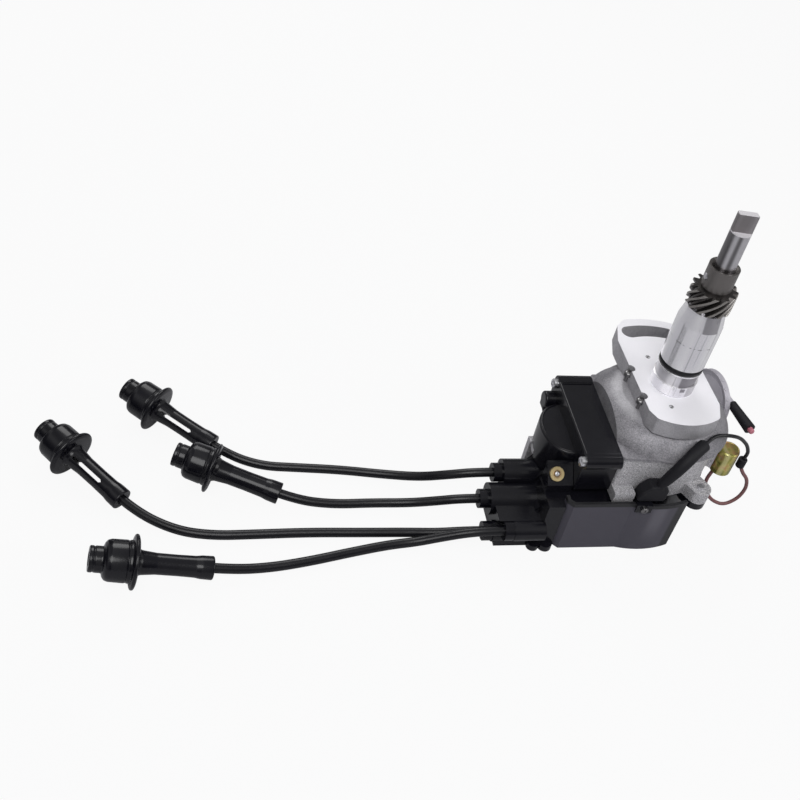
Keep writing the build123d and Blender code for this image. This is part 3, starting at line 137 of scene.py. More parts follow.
# The raised edge on the bulge: how far it lies inside the outline, how deep it sinks, its diameter
BULGE_EDGE_INSET = 1.6
BULGE_EDGE_SINK = 0.1
BULGE_EDGE_DIAMETER = 1.5
# The step line over the coil cover: its points behind the bulge's face, its side and its diameter
COVER_STEP_REACHES = (2.5, 13.0, 26.0)
COVER_STEP_Y = 29.0
COVER_STEP_DIAMETER = 0.9
# The brass insert in front of the chimney is turned this far about X, in degrees
INSERT_TILT = 45

# Screw face: its closed profile of (radius, height), the outline of its cross recess and the
# levels that the recess is cut between
SCREW_DOME = [(0, -0.1), (3.7, -0.1), (3.75, 0.1), (3.3, 0.7), (2.4, 1.1), (1.3, 1.35), (0, 1.45)]
SCREW_CROSS = [(0.45, 0.45), (2.1, 0.45), (2.1, -0.45), (0.45, -0.45), (0.45, -2.1), (-0.45, -2.1),
               (-0.45, -0.45), (-2.1, -0.45), (-2.1, 0.45), (-0.45, 0.45), (-0.45, 2.1), (0.45, 2.1)]
RECESS_FLOOR = 0.35
RECESS_TOP = 3.0
# The clip screw's face stands this far inside its solid's front and looks this way
CLIP_FACE_SINK = 0.15
CLIP_FACE_WAY = (-0.078, -0.997, 0)

# The floor: half its side, and how far below the part it lies
FLOOR_HALF_SIDE = 4.0
FLOOR_GAP = 0.0002
# Lamps: name, place, size and share of the key power; all of them look at one point
LAMPS = [
    ("key", (-0.5, -0.9, 1.3), 1.0, 1.0),
    ("fill", (0.9, -0.5, 0.7), 0.8, 0.35),
    ("back", (-0.2, 1.1, 0.9), 0.8, 0.45),
]
LAMP_TARGET = (-0.17, 0.0, -0.03)
# Camera: its place, and the ways its picture's right side and upper side point
CAMERA_PLACE = (-0.3424696, -0.4931807, 0.4522053)
CAMERA_RIGHT = (0.97831, -0.13996, 0.15274)
CAMERA_UP = (-0.01303, 0.69422, 0.71964)


# ------------------------------------------------------------------ shader building
class Value:
    """One socket of a material; Python's operators on it add Math nodes."""

    def __init__(self, maker, socket):
        self.maker = maker
        self.socket = socket

    def _math(self, operation, first, second):
        return self.maker.node("ShaderNodeMath", {"operation": operation}, {0: first, 1: second})

    def __add__(self, other):
        return self._math("ADD", self, other)

    __radd__ = __add__

    def __sub__(self, other):
        return self._math("SUBTRACT", self, other)

    def __rsub__(self, other):
        return self._math("SUBTRACT", other, self)

    def __mul__(self, other):
        return self._math("MULTIPLY", self, other)

    __rmul__ = __mul__

    def sine(self):
        return self._math("SINE", self, 0.0)

    def root(self):
        return self._math("SQRT", self, 0.0)

    def least(self, other):
        return self._math("MINIMUM", self, other)

    def rise(self, low, high):
        """0 below low, 1 above high, smooth between them."""
        return self.maker.node("ShaderNodeMapRange", {"interpolation_type": "SMOOTHSTEP"},
                               {"Value": self, "From Min": low, "From Max": high})

    def band(self, low, high, soft):
        """1 between low and high, falling to 0 over soft outside them."""
        return self.rise(low - soft, low) * (1.0 - self.rise(high, high + soft))


class Maker:
    """Adds nodes to one node tree."""

    def __init__(self, tree):
        self.tree = tree

    def node(self, kind, settings=None, inputs=None, output=0):
        """Add one node: its settings first, then the values or links of its sockets."""
        node = self.tree.nodes.new(kind)
        for key, value in (settings or {}).items():
            if key == "stops":
                ramp = node.color_ramp
                while len(ramp.elements) < len(value):
                    ramp.elements.new(0.5)
                for element, (position, colour) in zip(ramp.elements, value):
                    element.position = position
                    element.color = (*colour, 1.0)
            else:
                setattr(node, key, value)
        for key, value in (inputs or {}).items():
            if isinstance(value, Value):
                self.tree.links.new(value.socket, node.inputs[key])
            else:
                node.inputs[key].default_value = value
        return Value(self, node.outputs[output])


class Finish(Maker):
    """A material with one Principled shader, and the methods that add its nodes."""

    def __init__(self, name, base=(0.5, 0.5, 0.5), rough=0.5, metal=0.0, coat=0.0, coat_rough=0.1):
        self.material = bpy.data.materials.new(name)
        self.material.use_nodes = True
        super().__init__(self.material.node_tree)
        self.shader = self.tree.nodes["Principled BSDF"]
        self.material.diffuse_color = (*base, 1.0)
        self.set("Base Color", (*base, 1.0))
        self.set("Roughness", rough)
        self.set("Metallic", metal)
        self.set("Coat Weight", coat)
        self.set("Coat Roughness", coat_rough)

    def set(self, name, value):
        """Give a socket of the shader a plain value or a link."""
        if isinstance(value, Value):
            self.tree.links.new(value.socket, self.shader.inputs[name])
        else:
            self.shader.inputs[name].default_value = value

    def place(self, stretch=(1.0, 1.0, 1.0)):
        """Object coordinates in metres, stretched along the axes."""
        coordinates = self.node("ShaderNodeTexCoord", output="Object")
        return self.node("ShaderNodeMapping", inputs={"Vector": coordinates, "Scale": stretch})

    def spot(self, x, y, radius):
        """1 within a radius of an upright line at x and y, in millimetres."""
        across, along = self.axis("X") - x, self.axis("Y") - y
        return 1.0 - (across * across + along * along).rise(0.7 * radius * radius, radius * radius)

    def radius(self):
        """Distance from the shaft axis, in millimetres."""
        across, along = self.axis("X"), self.axis("Y")
        return (across * across + along * along).root()

    def axis(self, name):
        """One component of the object coordinates, in millimetres."""
        coordinates = self.node("ShaderNodeTexCoord", output="Object")
        return self.node("ShaderNodeSeparateXYZ", inputs={0: coordinates}, output=name) * 1000.0

    def noise(self, per_metre, detail=2.0, rough=0.5, stretch=(1.0, 1.0, 1.0)):
        """Noise between 0 and 1, with so many waves to a metre."""
        return self.node("ShaderNodeTexNoise", {"noise_dimensions": "3D"},
                         {"Vector": self.place(stretch), "Scale": per_metre, "Detail": detail,
                          "Roughness": rough})

    def blend(self, factor, first, second):
        """Mix two colours."""
        pair = [value if isinstance(value, Value) else (*value, 1.0) for value in (first, second)]
        return self.node("ShaderNodeMix", {"data_type": "RGBA"},
                         {0: factor, 6: pair[0], 7: pair[1]}, 2)

    def mix(self, factor, first, second):
        """Mix two numbers."""
        return self.node("ShaderNodeMix", {"data_type": "FLOAT"}, {0: factor, 2: first, 3: second})

    def bump(self, height, distance):
        """Let a height, times a distance in metres, turn the normal."""
        self.set("Normal", self.node("ShaderNodeBump", inputs={
            "Height": height, "Distance": distance, "Strength": 1.0}))


def cast_aluminium():
    """The housing: sand-cast bell and bowl, milled flange face, turned pilot with painted reflection
    stripes and painted shade.
    """
    finish = Finish("cast_aluminium", (0.30, 0.30, 0.31), metal=0.55)
    z = finish.axis("Z")
    pilot = z.rise(0.4, 0.6)
    face = z.band(-0.15, 0.35, 0.1)
    bowl = 1.0 - z.rise(-33.0, -30.0)
    side = z.rise(-16.0, -13.0)
    relief = z.band(9.2, 18.2, 0.2)
    cone = z.rise(58.6, 59.0)
    grain = finish.noise(900.0, 4.0, 0.65)
    cloud = finish.noise(60.0, 3.0, 0.6)
    speck = finish.noise(1600.0, 2.0, 0.7)
    sand = (grain * 0.35 + cloud * 0.30 + speck * 0.35).rise(0.34, 0.66)
    bell_colour = finish.blend(sand, (0.13, 0.127, 0.142), (0.40, 0.39, 0.415))
    edge_colour = finish.blend(sand, (0.31, 0.305, 0.325), (0.54, 0.53, 0.555))
    bowl_colour = finish.blend(speck.rise(0.40, 0.62), (0.30, 0.295, 0.315), (0.76, 0.75, 0.77))
    cast = finish.blend(bowl, finish.blend(side, bell_colour, edge_colour), bowl_colour)
    turned_lines = finish.noise(2600.0, 1.0, 0.5, (0.02, 0.02, 1.0))
    # Painted reflection: upright light and dark stripes in the colour of the turned pilot.
    painted_reflection_streaks = finish.noise(85.0, 1.0, 0.4, (1.0, 1.0, 0.03)).rise(0.40, 0.60)
    turned = finish.blend(painted_reflection_streaks * 0.85 + turned_lines * 0.15, (0.80, 0.79, 0.83), (1.0, 0.99, 1.0))
    scratches = finish.noise(420.0, 2.0, 0.6, (1.0, 1.0, 0.02)).rise(0.62, 0.68)
    turned = finish.blend(scratches * 0.45, turned, (0.30, 0.29, 0.31))
    across = finish.axis("X")
    # Painted shade and dark reflection bands, placed by X: on the relief groove, on the cone and on a
    # patch at the foot of the pilot.
    painted_shade_foot = z.band(0.4, 9.0, 0.2) * across.band(4.0, 11.0, 1.5)
    shade = relief * (across.band(-3.0, 9.0, 1.5) * 0.60 + 0.30)
    shade = shade + cone * across.band(-4.0, 6.0, 1.5) * 0.75 + painted_shade_foot * 0.55
    turned = finish.blend(shade, turned, (0.20, 0.19, 0.21))
    dent = z.band(5.6, 8.2, 0.6) * across.band(-1.5, 1.5, 0.7)
    turned = finish.blend(dent * 0.8, turned, (0.16, 0.15, 0.17))
    witness = z.band(45.0, 45.3, 0.1) * finish.noise(260.0).rise(0.48, 0.52)
    turned = finish.blend(witness, turned, (0.10, 0.10, 0.10))
    milled = finish.blend(cloud, (0.92, 0.91, 0.96), (0.97, 0.96, 1.0))
    marks = finish.spot(-9.0, 28.0, 2.0) + finish.spot(-9.0, -25.0, 2.0)
    milled = finish.blend(marks * grain.rise(0.35, 0.55), milled, (0.10, 0.10, 0.10))
    finish.set("Base Color", finish.blend(face, finish.blend(pilot, cast, turned), milled))
    roughness = finish.mix(pilot, grain * 0.2 + 0.42, relief * 0.2 + 0.20)
    finish.set("Roughness", finish.mix(face, roughness, 0.5))
    finish.set("Metallic", finish.mix(face, finish.mix(pilot, 0.45, 0.78), 0.12))
    height = (grain * 0.5 + speck * bowl) * (1.0 - pilot) * (1.0 - face)
    finish.bump(height + turned_lines * pilot * 0.12, 0.00018)
    return finish


def machined_steel():
    """Turned steel of the shaft, pins and levers, with long painted reflection stripes along the shaft
    and a painted highlight on its tip face and step.
    """
    finish = Finish("machined_steel", (0.42, 0.42, 0.43), metal=1.0)
    lines = finish.noise(2200.0, 2.0, 0.6, (0.03, 0.03, 1.0))
    # Painted reflection: upright light and dark stripes in the colour of the turned steel.
    painted_reflection_streaks = finish.noise(170.0, 1.0, 0.4, (1.0, 1.0, 0.03)).rise(0.40, 0.60)
    z = finish.axis("Z")
    tip_face = z.rise(144.6, 144.9)
    flats = z.rise(131.6, 132.2) * (1.0 - tip_face)
    # Painted highlight: the tip's top face and the ring at the step are lighter and less metallic.
    painted_highlight_ends = (tip_face + z.band(131.3, 132.1, 0.1)).least(1.0)
    turned = finish.blend(painted_reflection_streaks, (0.17, 0.165, 0.17), (0.55, 0.54, 0.56))
    turned = finish.blend(flats * 0.75, turned, (0.30, 0.28, 0.285))
    finish.set("Base Color", finish.blend(painted_highlight_ends, turned, (0.74, 0.72, 0.75)))
    finish.set("Roughness", lines * 0.16 + 0.24 + flats * 0.15 + painted_highlight_ends * 0.2)
    finish.set("Metallic", 1.0 - painted_highlight_ends * 0.75)
    finish.bump(lines, 0.00003)
    return finish


def dark_steel():
    """Hardened gear steel: dark gaps, a painted highlight along the outer ends of the teeth and a warm
    grey hub.
    """
    finish = Finish("dark_steel", (0.18, 0.17, 0.17), metal=0.9)
    stain = finish.noise(160.0, 4.0, 0.6)
    grain = finish.noise(1500.0, 2.0, 0.6)
    # Painted highlight: the teeth are lighter at their outer radius.
    painted_highlight_tips = finish.radius().rise(14.9, 15.4)
    hub = finish.axis("Z").rise(88.2, 88.8)
    base = finish.blend(stain, (0.050, 0.047, 0.048), (0.12, 0.11, 0.105))
    base = finish.blend(hub, base, (0.19, 0.178, 0.172))
    finish.set("Base Color", finish.blend(painted_highlight_tips, base, (0.30, 0.285, 0.27)))
    finish.set("Roughness", grain * 0.2 + 0.30)
    finish.bump(grain, 0.00005)
    return finish


def zinc_screw():
    """Bright zinc-plated screws."""
    finish = Finish("zinc_screw", (0.72, 0.72, 0.74), metal=1.0)
    grain = finish.noise(1200.0, 3.0, 0.6)
    pockets = finish.axis("X").band(-31.0, -23.0, 1.0) * finish.axis("Z").band(-16.0, -2.0, 1.0)
    clip = 1.0 - finish.axis("Y").rise(-62.0, -61.0)
    bright = finish.blend(grain, (0.60, 0.60, 0.63), (0.84, 0.84, 0.86))
    finish.set("Base Color", finish.blend((pockets + clip).least(1.0), bright, (0.24, 0.235, 0.24)))
    finish.set("Roughness", grain * 0.15 + 0.22)
    return finish


def plated_steel():
    """Drawn steel with a matt grey-lilac plating."""
    finish = Finish("plated_steel", (0.52, 0.50, 0.56), metal=0.25)
    cloud = finish.noise(90.0, 4.0, 0.6)
    grain = finish.noise(1400.0, 2.0, 0.6)
    finish.set("Base Color", finish.blend(cloud, (0.40, 0.385, 0.435), (0.58, 0.56, 0.61)))
    finish.set("Roughness", grain * 0.2 + 0.40)
    finish.bump(grain, 0.00004)
    return finish


def metal(name, dark, light, rough):
    """A plain coloured metal, cloudy and lightly grained."""
    finish = Finish(name, light, metal=1.0)
    cloud = finish.noise(140.0, 3.0, 0.6)
    grain = finish.noise(1500.0, 2.0, 0.6)
    finish.set("Base Color", finish.blend(cloud, dark, light))
    finish.set("Roughness", grain * 0.15 + rough)
    return finish


def passivated_zinc():
    """Yellow passivated can that turns green and pink with the place, with a painted highlight band on
    its left and painted shade on its right.
    """
    finish = Finish("passivated_zinc", (0.55, 0.50, 0.22), metal=0.85, coat=0.3, coat_rough=0.15)
    cloud = finish.noise(110.0, 2.0, 0.55)
    grain = finish.noise(1400.0, 2.0, 0.6)
    stops = [(0.30, (0.17, 0.18, 0.04)), (0.44, (0.44, 0.41, 0.10)), (0.54, (0.62, 0.52, 0.17)),
             (0.62, (0.62, 0.34, 0.15)), (0.72, (0.36, 0.46, 0.22))]
    colour = finish.node("ShaderNodeValToRGB", {"stops": stops}, {"Fac": cloud})
    low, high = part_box("condenser_can")
    middle = (low.x + high.x) / 2 / MM
    # Painted highlight: a light band left of the can's middle. Painted shade: darker right of the
    # middle.
    lit = finish.axis("X").band(middle - 4.5, middle - 3.0, 1.5)
    painted_shade_right = finish.axis("X").rise(middle + 0.5, middle + 4.0)
    colour = finish.blend(lit * 0.45, colour, (0.95, 0.88, 0.48))
    finish.set("Base Color", finish.blend(painted_shade_right * 0.55, colour, (0.16, 0.14, 0.04)))
    finish.set("Roughness", grain * 0.12 + 0.26)
    return finish


def moulded(name, dark, light, rough, grain_depth=0.00004, gloss=0.5, duller_right=0.0):
    """Moulded plastic or rubber: a fine texture, faint clouds and duller patches.

    duller_right is added to the roughness of what lies at the body, to the right of the leads.
    """
    finish = Finish(name, light)
    finish.set("Specular IOR Level", gloss)
    cloud = finish.noise(55.0, 3.0, 0.6)
    grain = finish.noise(1300.0, 3.0, 0.6)
    roughness = cloud * 0.12 + grain * 0.1 + rough
    if duller_right:
        roughness = roughness + finish.axis("X").rise(-80.0, -40.0) * duller_right
    finish.set("Base Color", finish.blend(cloud * 0.6 + grain * 0.4, dark, light))
    finish.set("Roughness", roughness)
    finish.bump(grain, grain_depth)
    return finish


def grey_shield():
    """Violet-grey moulded shield with a black rolled top edge, a painted upright highlight on its
    front and painted shade on its left facet.
    """
    finish = Finish("grey_shield", (0.06, 0.057, 0.075))
    cloud = finish.noise(55.0, 3.0, 0.6)
    grain = finish.noise(1300.0, 3.0, 0.6)
    rim = finish.axis("Z").rise(-66.6, -66.0) + finish.axis("X").rise(6.0, 9.0)
    face = finish.blend(cloud * 0.6 + grain * 0.4, (0.046, 0.043, 0.060), (0.072, 0.068, 0.088))
    # Painted highlight: a lighter upright band on the front.
    sheen = finish.axis("X").band(-8.0, -4.0, 7.0) * finish.axis("Z").rise(-106.0, -80.0)
    face = finish.blend(sheen * 0.7, face, (0.125, 0.12, 0.145))
    # Painted shade: the left facet is darker.
    painted_shade_facet = 1.0 - finish.axis("X").rise(-80.0, -77.0)
    face = finish.blend(painted_shade_facet * 0.5, face, (0.018, 0.017, 0.024))
    finish.set("Base Color", finish.blend(rim.least(1.0), face, (0.010, 0.010, 0.012)))
    finish.set("Roughness", cloud * 0.12 + grain * 0.1 + 0.38)
    finish.bump(grain, 0.00004)
    return finish


def make_finishes():
    """Make every finish, by the name of its material slot."""
    return {
        "cast_aluminium": cast_aluminium(),
        "machined_steel": machined_steel(),
        "dark_steel": dark_steel(),
        "zinc_screw": zinc_screw(),
        "plated_steel": plated_steel(),
        "brass": metal("brass", (0.55, 0.42, 0.20), (0.78, 0.64, 0.36), 0.28),
        "bronze": metal("bronze", (0.38, 0.26, 0.13), (0.60, 0.44, 0.26), 0.34),
        "copper_winding": metal("copper_winding", (0.32, 0.12, 0.05), (0.55, 0.25, 0.13), 0.30),
        "passivated_zinc": passivated_zinc(),
        "black_resin": moulded("black_resin", (0.003, 0.003, 0.0045), (0.009, 0.0088, 0.013), 0.10,
                               0.00003, 0.38),
        "grey_shield": grey_shield(),
        "inner_resin": moulded("inner_resin", (0.05, 0.03, 0.02), (0.09, 0.06, 0.04), 0.40),
        "black_rubber": moulded("black_rubber", (0.002, 0.002, 0.0035), (0.007, 0.0068, 0.011), 0.07,
                                0.00002, 0.36, 0.45),
        "silicone_lead": moulded("silicone_lead", (0.003, 0.003, 0.0045), (0.009, 0.0088, 0.012), 0.18,
                                 0.00004, 0.36),
        "brown_wire": moulded("brown_wire", (0.14, 0.055, 0.055), (0.24, 0.11, 0.11), 0.36),
        "pink_plug": moulded("pink_plug", (0.45, 0.12, 0.17), (0.62, 0.24, 0.30), 0.45),
        "carbon": moulded("carbon", (0.01, 0.01, 0.01), (0.03, 0.03, 0.03), 0.5),
    }


FINISHES = {}


# ------------------------------------------------------------------ mesh helpers
def add_mesh(name, mesh, slot):
    """Put a mesh into the scene as a piece with one finish."""
    piece = bpy.data.objects.new(name, mesh)
    bpy.context.scene.collection.objects.link(piece)
    mesh.materials.clear()
    mesh.materials.append(FINISHES[slot].material)
    return piece


def smooth(mesh, angle=35.0):
    """Shade a mesh smooth, with edges sharper than the angle kept crisp."""
    mesh.polygons.foreach_set("use_smooth", [True] * len(mesh.polygons))
    mesh.set_sharp_from_angle(angle=radians(angle))


def lathe(profile, place, steps=64):
    """Turn a closed profile of (radius, height) in millimetres round local Z, and place it."""
    form = bmesh.new()
    rings = []
    for step in range(steps):
        turn = 2 * pi * step / steps
        rings.append([form.verts.new((radius * cos(turn) * MM, radius * sin(turn) * MM, height * MM))
                      for radius, height in profile])
    count = len(profile)
    for step in range(steps):
        here, after = rings[step], rings[(step + 1) % steps]
        for index in range(count):
            upper = (index + 1) % count
            form.faces.new((here[index], after[index], after[upper], here[upper]))
    bmesh.ops.remove_doubles(form, verts=form.verts, dist=1e-6)
    bmesh.ops.dissolve_degenerate(form, edges=form.edges, dist=1e-7)
    bmesh.ops.recalc_face_normals(form, faces=form.faces)
    form.transform(place)
    mesh = bpy.data.meshes.new("turned")
    form.to_mesh(mesh)
    form.free()
    smooth(mesh, 40.0)
    return mesh


def rounded(profile, radius=0.5, steps=3):
    """Round the corners of a closed profile by a small radius."""
    points = []
    count = len(profile)
    for index, corner in enumerate(profile):
        here = Vector(corner)
        before = Vector(profile[index - 1])
        after = Vector(profile[(index + 1) % count])
        if here.x < 1e-6:
            points.append(corner)
            continue
        reach_in = min(radius, 0.4 * (before - here).length)
        reach_out = min(radius, 0.4 * (after - here).length)
        start = here + (before - here).normalized() * reach_in
        end = here + (after - here).normalized() * reach_out
        for step in range(steps + 1):
            share = step / steps
            point = start * (1 - share) ** 2 + here * 2 * share * (1 - share) + end * share**2
            points.append((point.x, point.y))
    return points


def curve_piece(name, points, diameter, slot, resolution=10):
    """A round cord along a smooth line whose control points are given in millimetres."""
    curve = bpy.data.curves.new(name, "CURVE")
    curve.dimensions = "3D"
    spline = curve.splines.new("NURBS")
    spline.points.add(len(points) - 1)
    for control, point in zip(spline.points, points):
        control.co = (point[0] * MM, point[1] * MM, point[2] * MM, 1.0)
    spline.order_u = 3
    spline.use_endpoint_u = True
    curve.resolution_u = resolution
    curve.bevel_depth = diameter / 2 * MM
    curve.bevel_resolution = 6
    curve.use_fill_caps = True
    piece = bpy.data.objects.new(name, curve)
    bpy.context.scene.collection.objects.link(piece)
    curve.materials.append(FINISHES[slot].material)
    return piece


def extruded(outline, low, high, place=Matrix.Identity(4)):
    """Raise a closed outline, in millimetres, from a low to a high level along local Z."""
    form = bmesh.new()
    rings = [[form.verts.new((x * MM, y * MM, level * MM)) for x, y in outline]
             for level in (low, high)]
    form.faces.new(rings[0])
    form.faces.new(rings[1])
    for index in range(len(outline)):
        after = (index + 1) % len(outline)
        form.faces.new((rings[0][index], rings[0][after], rings[1][after], rings[1][index]))
    bmesh.ops.recalc_face_normals(form, faces=form.faces)
    form.transform(place)
    mesh = bpy.data.meshes.new("raised")
    form.to_mesh(mesh)
    form.free()
    return mesh


def evaluated_mesh(piece):
    """Turn an object with its modifiers into a plain mesh, and take the object away."""
    graph = bpy.context.evaluated_depsgraph_get()
    mesh = bpy.data.meshes.new_from_object(piece.evaluated_get(graph))
    bpy.data.objects.remove(piece)
    return mesh


def carve(mesh, cutter_mesh):
    """Cut one closed mesh out of another."""
    body = bpy.data.objects.new("body", mesh)
    cutter = bpy.data.objects.new("cutter", cutter_mesh)
    for item in (body, cutter):
        bpy.context.scene.collection.objects.link(item)
    cut = body.modifiers.new("cut", "BOOLEAN")
    cut.operation = "DIFFERENCE"
    cut.object = cutter
    carved = evaluated_mesh(body)
    bpy.data.objects.remove(cutter)
    smooth(carved, 35.0)
    return carved


def scatter_tree():
    """Make the node tree that puts one template on every point, turned along its "way"."""
    tree = bpy.data.node_groups.new("scatter", "GeometryNodeTree")
    tree.is_modifier = True
    sockets = [("Geometry", "INPUT", "NodeSocketGeometry"), ("Template", "INPUT", "NodeSocketObject"),
               ("Finish", "INPUT", "NodeSocketMaterial"), ("Size", "INPUT", "NodeSocketFloat"),
               ("Geometry", "OUTPUT", "NodeSocketGeometry")]
    for name, side, kind in sockets:
        tree.interface.new_socket(name, in_out=side, socket_type=kind)
    maker = Maker(tree)
    entry = tree.nodes.new("NodeGroupInput")
    points, template, finish, size = (Value(maker, entry.outputs[index]) for index in range(4))
    shape = maker.node("GeometryNodeObjectInfo", inputs={"Object": template}, output="Geometry")
    way = maker.node("GeometryNodeInputNamedAttribute", {"data_type": "FLOAT_VECTOR"}, {"Name": "way"})
    turn = maker.node("FunctionNodeAlignRotationToVector", {"axis": "Z"}, {"Vector": way})
    placed = maker.node("GeometryNodeInstanceOnPoints", inputs={
        "Points": points, "Instance": shape, "Rotation": turn, "Scale": size})
    real = maker.node("GeometryNodeRealizeInstances", inputs={"Geometry": placed})
    coated = maker.node("GeometryNodeSetMaterial", inputs={"Geometry": real, "Material": finish})
    leave = tree.nodes.new("NodeGroupOutput")
    tree.links.new(coated.socket, leave.inputs[0])
    return tree


def scatter(name, template, places, slot, size=1.0):
    """Put a template on every place, given as a point in millimetres and the way its +Z looks."""
    mesh = bpy.data.meshes.new(name)
    mesh.from_pydata([[value * MM for value in point] for point, way in places], [], [])
    ways = mesh.attributes.new("way", "FLOAT_VECTOR", "POINT")
    for item, (point, way) in zip(ways.data, places):
        item.vector = way
    points = bpy.data.objects.new(name + "_points", mesh)
    pattern = bpy.data.objects.new(name + "_pattern", template)
    for item in (points, pattern):
        bpy.context.scene.collection.objects.link(item)
    tree = bpy.data.node_groups.get("scatter") or scatter_tree()
    values = {"Template": pattern, "Finish": FINISHES[slot].material, "Size": size}
    modifier = points.modifiers.new("scatter", "NODES")
    modifier.node_group = tree
    for socket in tree.interface.items_tree:
        if socket.in_out == "INPUT" and socket.name in values:
            modifier[socket.identifier] = values[socket.name]
    piece = add_mesh(name, evaluated_mesh(points), slot)
    bpy.data.objects.remove(pattern)
    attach(piece, ROOT)
    return piece


def boot_matrix(index):
    """The place of a boot whose local +Z runs from its tail to its nose."""
    x, y, z, heading, tilt = BOOT_PLACES[index]
    return (Matrix.Translation((x * MM, y * MM, z * MM)) @ Matrix.Rotation(radians(heading), 4, "Z")
            @ Matrix.Rotation(radians(90 - tilt), 4, "Y"))


def window_matrix(index):
    """The place of the cutter for a boot's pull window, which runs through the boot's tail."""
    return (boot_matrix(index) @ Matrix.Rotation(radians(WINDOW_TURNS[index]), 4, "Z")
            @ Matrix.Rotation(pi / 2, 4, "X"))


def canister_axes():
    """The canister's ways: along its axis, and level across it."""
    heading = radians(CANISTER_HEADING)
    return Vector((cos(heading), sin(heading), 0)), Vector((-sin(heading), cos(heading), 0))


def canister_point(reach):
    """A point on the canister's axis, this far out in millimetres."""
    along, across = canister_axes()
    return along * reach + across * CANISTER_OFFSET + Vector((0, 0, CANISTER_AXIS_Z))


# ------------------------------------------------------------------ sizes and colours
class LeadSizes(bpy.types.PropertyGroup):
    """Sizes of the plug leads and boots."""

    lead_diameter: bpy.props.FloatProperty(
        name="Lead diameter", description="Outside diameter of a plug lead", default=0.007,
        subtype="DISTANCE", unit="LENGTH")
    boot_flange: bpy.props.FloatProperty(
        name="Boot flange", description="Diameter of the sealing flange of a boot", default=0.037,
        subtype="DISTANCE", unit="LENGTH")


class CanisterSizes(bpy.types.PropertyGroup):
    """Sizes of the crimps on the vacuum canister."""

    crimps: bpy.props.IntProperty(
        name="Crimps", description="Number of crimps round the rim", default=18)
    rim: bpy.props.FloatProperty(
        name="Rim diameter", description="Diameter of the crimped rim", default=0.0464,
        subtype="DISTANCE", unit="LENGTH")


class StageSizes(bpy.types.PropertyGroup):
    """Sizes and levels of the floor, the lamps and the camera."""

    lens: bpy.props.FloatProperty(
        name="Lens", description="Focal length of the camera in millimetres", default=45.0)
    floor_colour: bpy.props.FloatVectorProperty(
        name="Floor", description="Colour of the floor", default=(0.55, 0.55, 0.57), subtype="COLOR",
        size=3)
    key_power: bpy.props.FloatProperty(
        name="Key lamp", description="Power of the main lamp", default=11.0, unit="POWER")
    sky_level: bpy.props.FloatProperty(
        name="Sky", description="Brightness of the surroundings in reflections", default=0.55)


# ------------------------------------------------------------------ operators
class DISTRIBUTOR_OT_finishes(bpy.types.Operator):
    """Make the finishes and give every solid its own"""

    bl_idname = "distributor.finishes"
    bl_label = "Finishes"

    def execute(self, context):
        FINISHES.update(make_finishes())
        for row in frame["record"]["subparts"]:
            solid = frame["nodes"][row["node"]]
            solid.data.materials.clear()
            solid.data.materials.append(FINISHES[row["material_slot"]].material)
            smooth(solid.data, 30.0)
        return {"FINISHED"}


class DISTRIBUTOR_OT_leads(bpy.types.Operator):
    """Lay the plug leads and the harness sleeve, and shape the boots"""

    bl_idname = "distributor.leads"
    bl_label = "Plug leads, boots and sleeve"

    def execute(self, context):
        sizes = context.scene.distributor_leads
        flange = sizes.boot_flange / MM / 2
        profile = [
            (3.5, -52), (7.7, -52), (8.1, -51.4), (7.9, -44), (7.3, -40), (7.1, -28), (7.2, -14),
            (8.2, -4.5), (9.4, -1.9), (flange - 2.6, -1.9), (flange - 0.4, -1.1), (flange, -0.3),
            (flange, 0.3), (flange - 0.4, 1.1), (flange - 2.6, 1.9), (14.4, 1.9), (14.2, 3.6),
            (13.8, 4.2), (13.8, 4.7), (14.2, 5.3), (14.0, 15.5), (13.2, 18.0), (11.2, 19.6),
            (9.0, 20.2), (8.8, 20.8), (8.8, 25.0), (8.4, 25.4), (8.4, 26.0), (8.8, 26.4),
            (8.8, 28.4), (8.2, 29), (5, 29), (5, 5), (0, 5), (0, -42), (3.5, -42),
        ]
        for index, route in enumerate(LEAD_ROUTES):
            number = index + 1
            form = lathe(rounded(profile, 0.6), boot_matrix(index))
            window = extruded(WINDOW_OUTLINE, -WINDOW_REACH, WINDOW_REACH, window_matrix(index))
            boot = add_mesh(f"boot_{number}", carve(form, window), "black_rubber")
            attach(boot, ROOT)
            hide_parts(f"plug_boot_{number}")
            lead = curve_piece(f"lead_{number}", route, sizes.lead_diameter / MM, "silicone_lead")
            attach(lead, ROOT)
            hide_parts(f"plug_lead_{number}")
        sleeve = curve_piece("sleeve_skin", SLEEVE_ROUTE, SLEEVE_DIAMETER, "black_rubber")
        for control, share in zip(sleeve.data.splines[0].points, SLEEVE_SHARES):
            control.radius = share
        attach(sleeve, ROOT)
        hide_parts("harness_sleeve")
        return {"FINISHED"}


class DISTRIBUTOR_OT_screws(bpy.types.Operator):
    """Put a domed face with a cross recess on every screw"""

    bl_idname = "distributor.screws"
    bl_label = "Screw faces"

    def execute(self, context):
        dome = lathe(SCREW_DOME, Matrix.Identity(4), steps=40)
        face = carve(dome, extruded(SCREW_CROSS, RECESS_FLOOR, RECESS_TOP))
        low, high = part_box("clip_screw")
        middle = (low + high) / 2 / MM
        clip_place = (middle.x, low.y / MM + CLIP_FACE_SINK, middle.z)
        scatter("cover_screw_faces", face.copy(), COVER_SCREWS, "zinc_screw")
        scatter("cap_screw_faces", face.copy(), CAP_SCREWS, "zinc_screw", size=1.15)
        scatter("pocket_screw_faces", face.copy(), POCKET_SCREWS, "zinc_screw", size=0.8)
        scatter("clip_screw_face", face, [(clip_place, CLIP_FACE_WAY)], "zinc_screw", size=0.62)
        return {"FINISHED"}


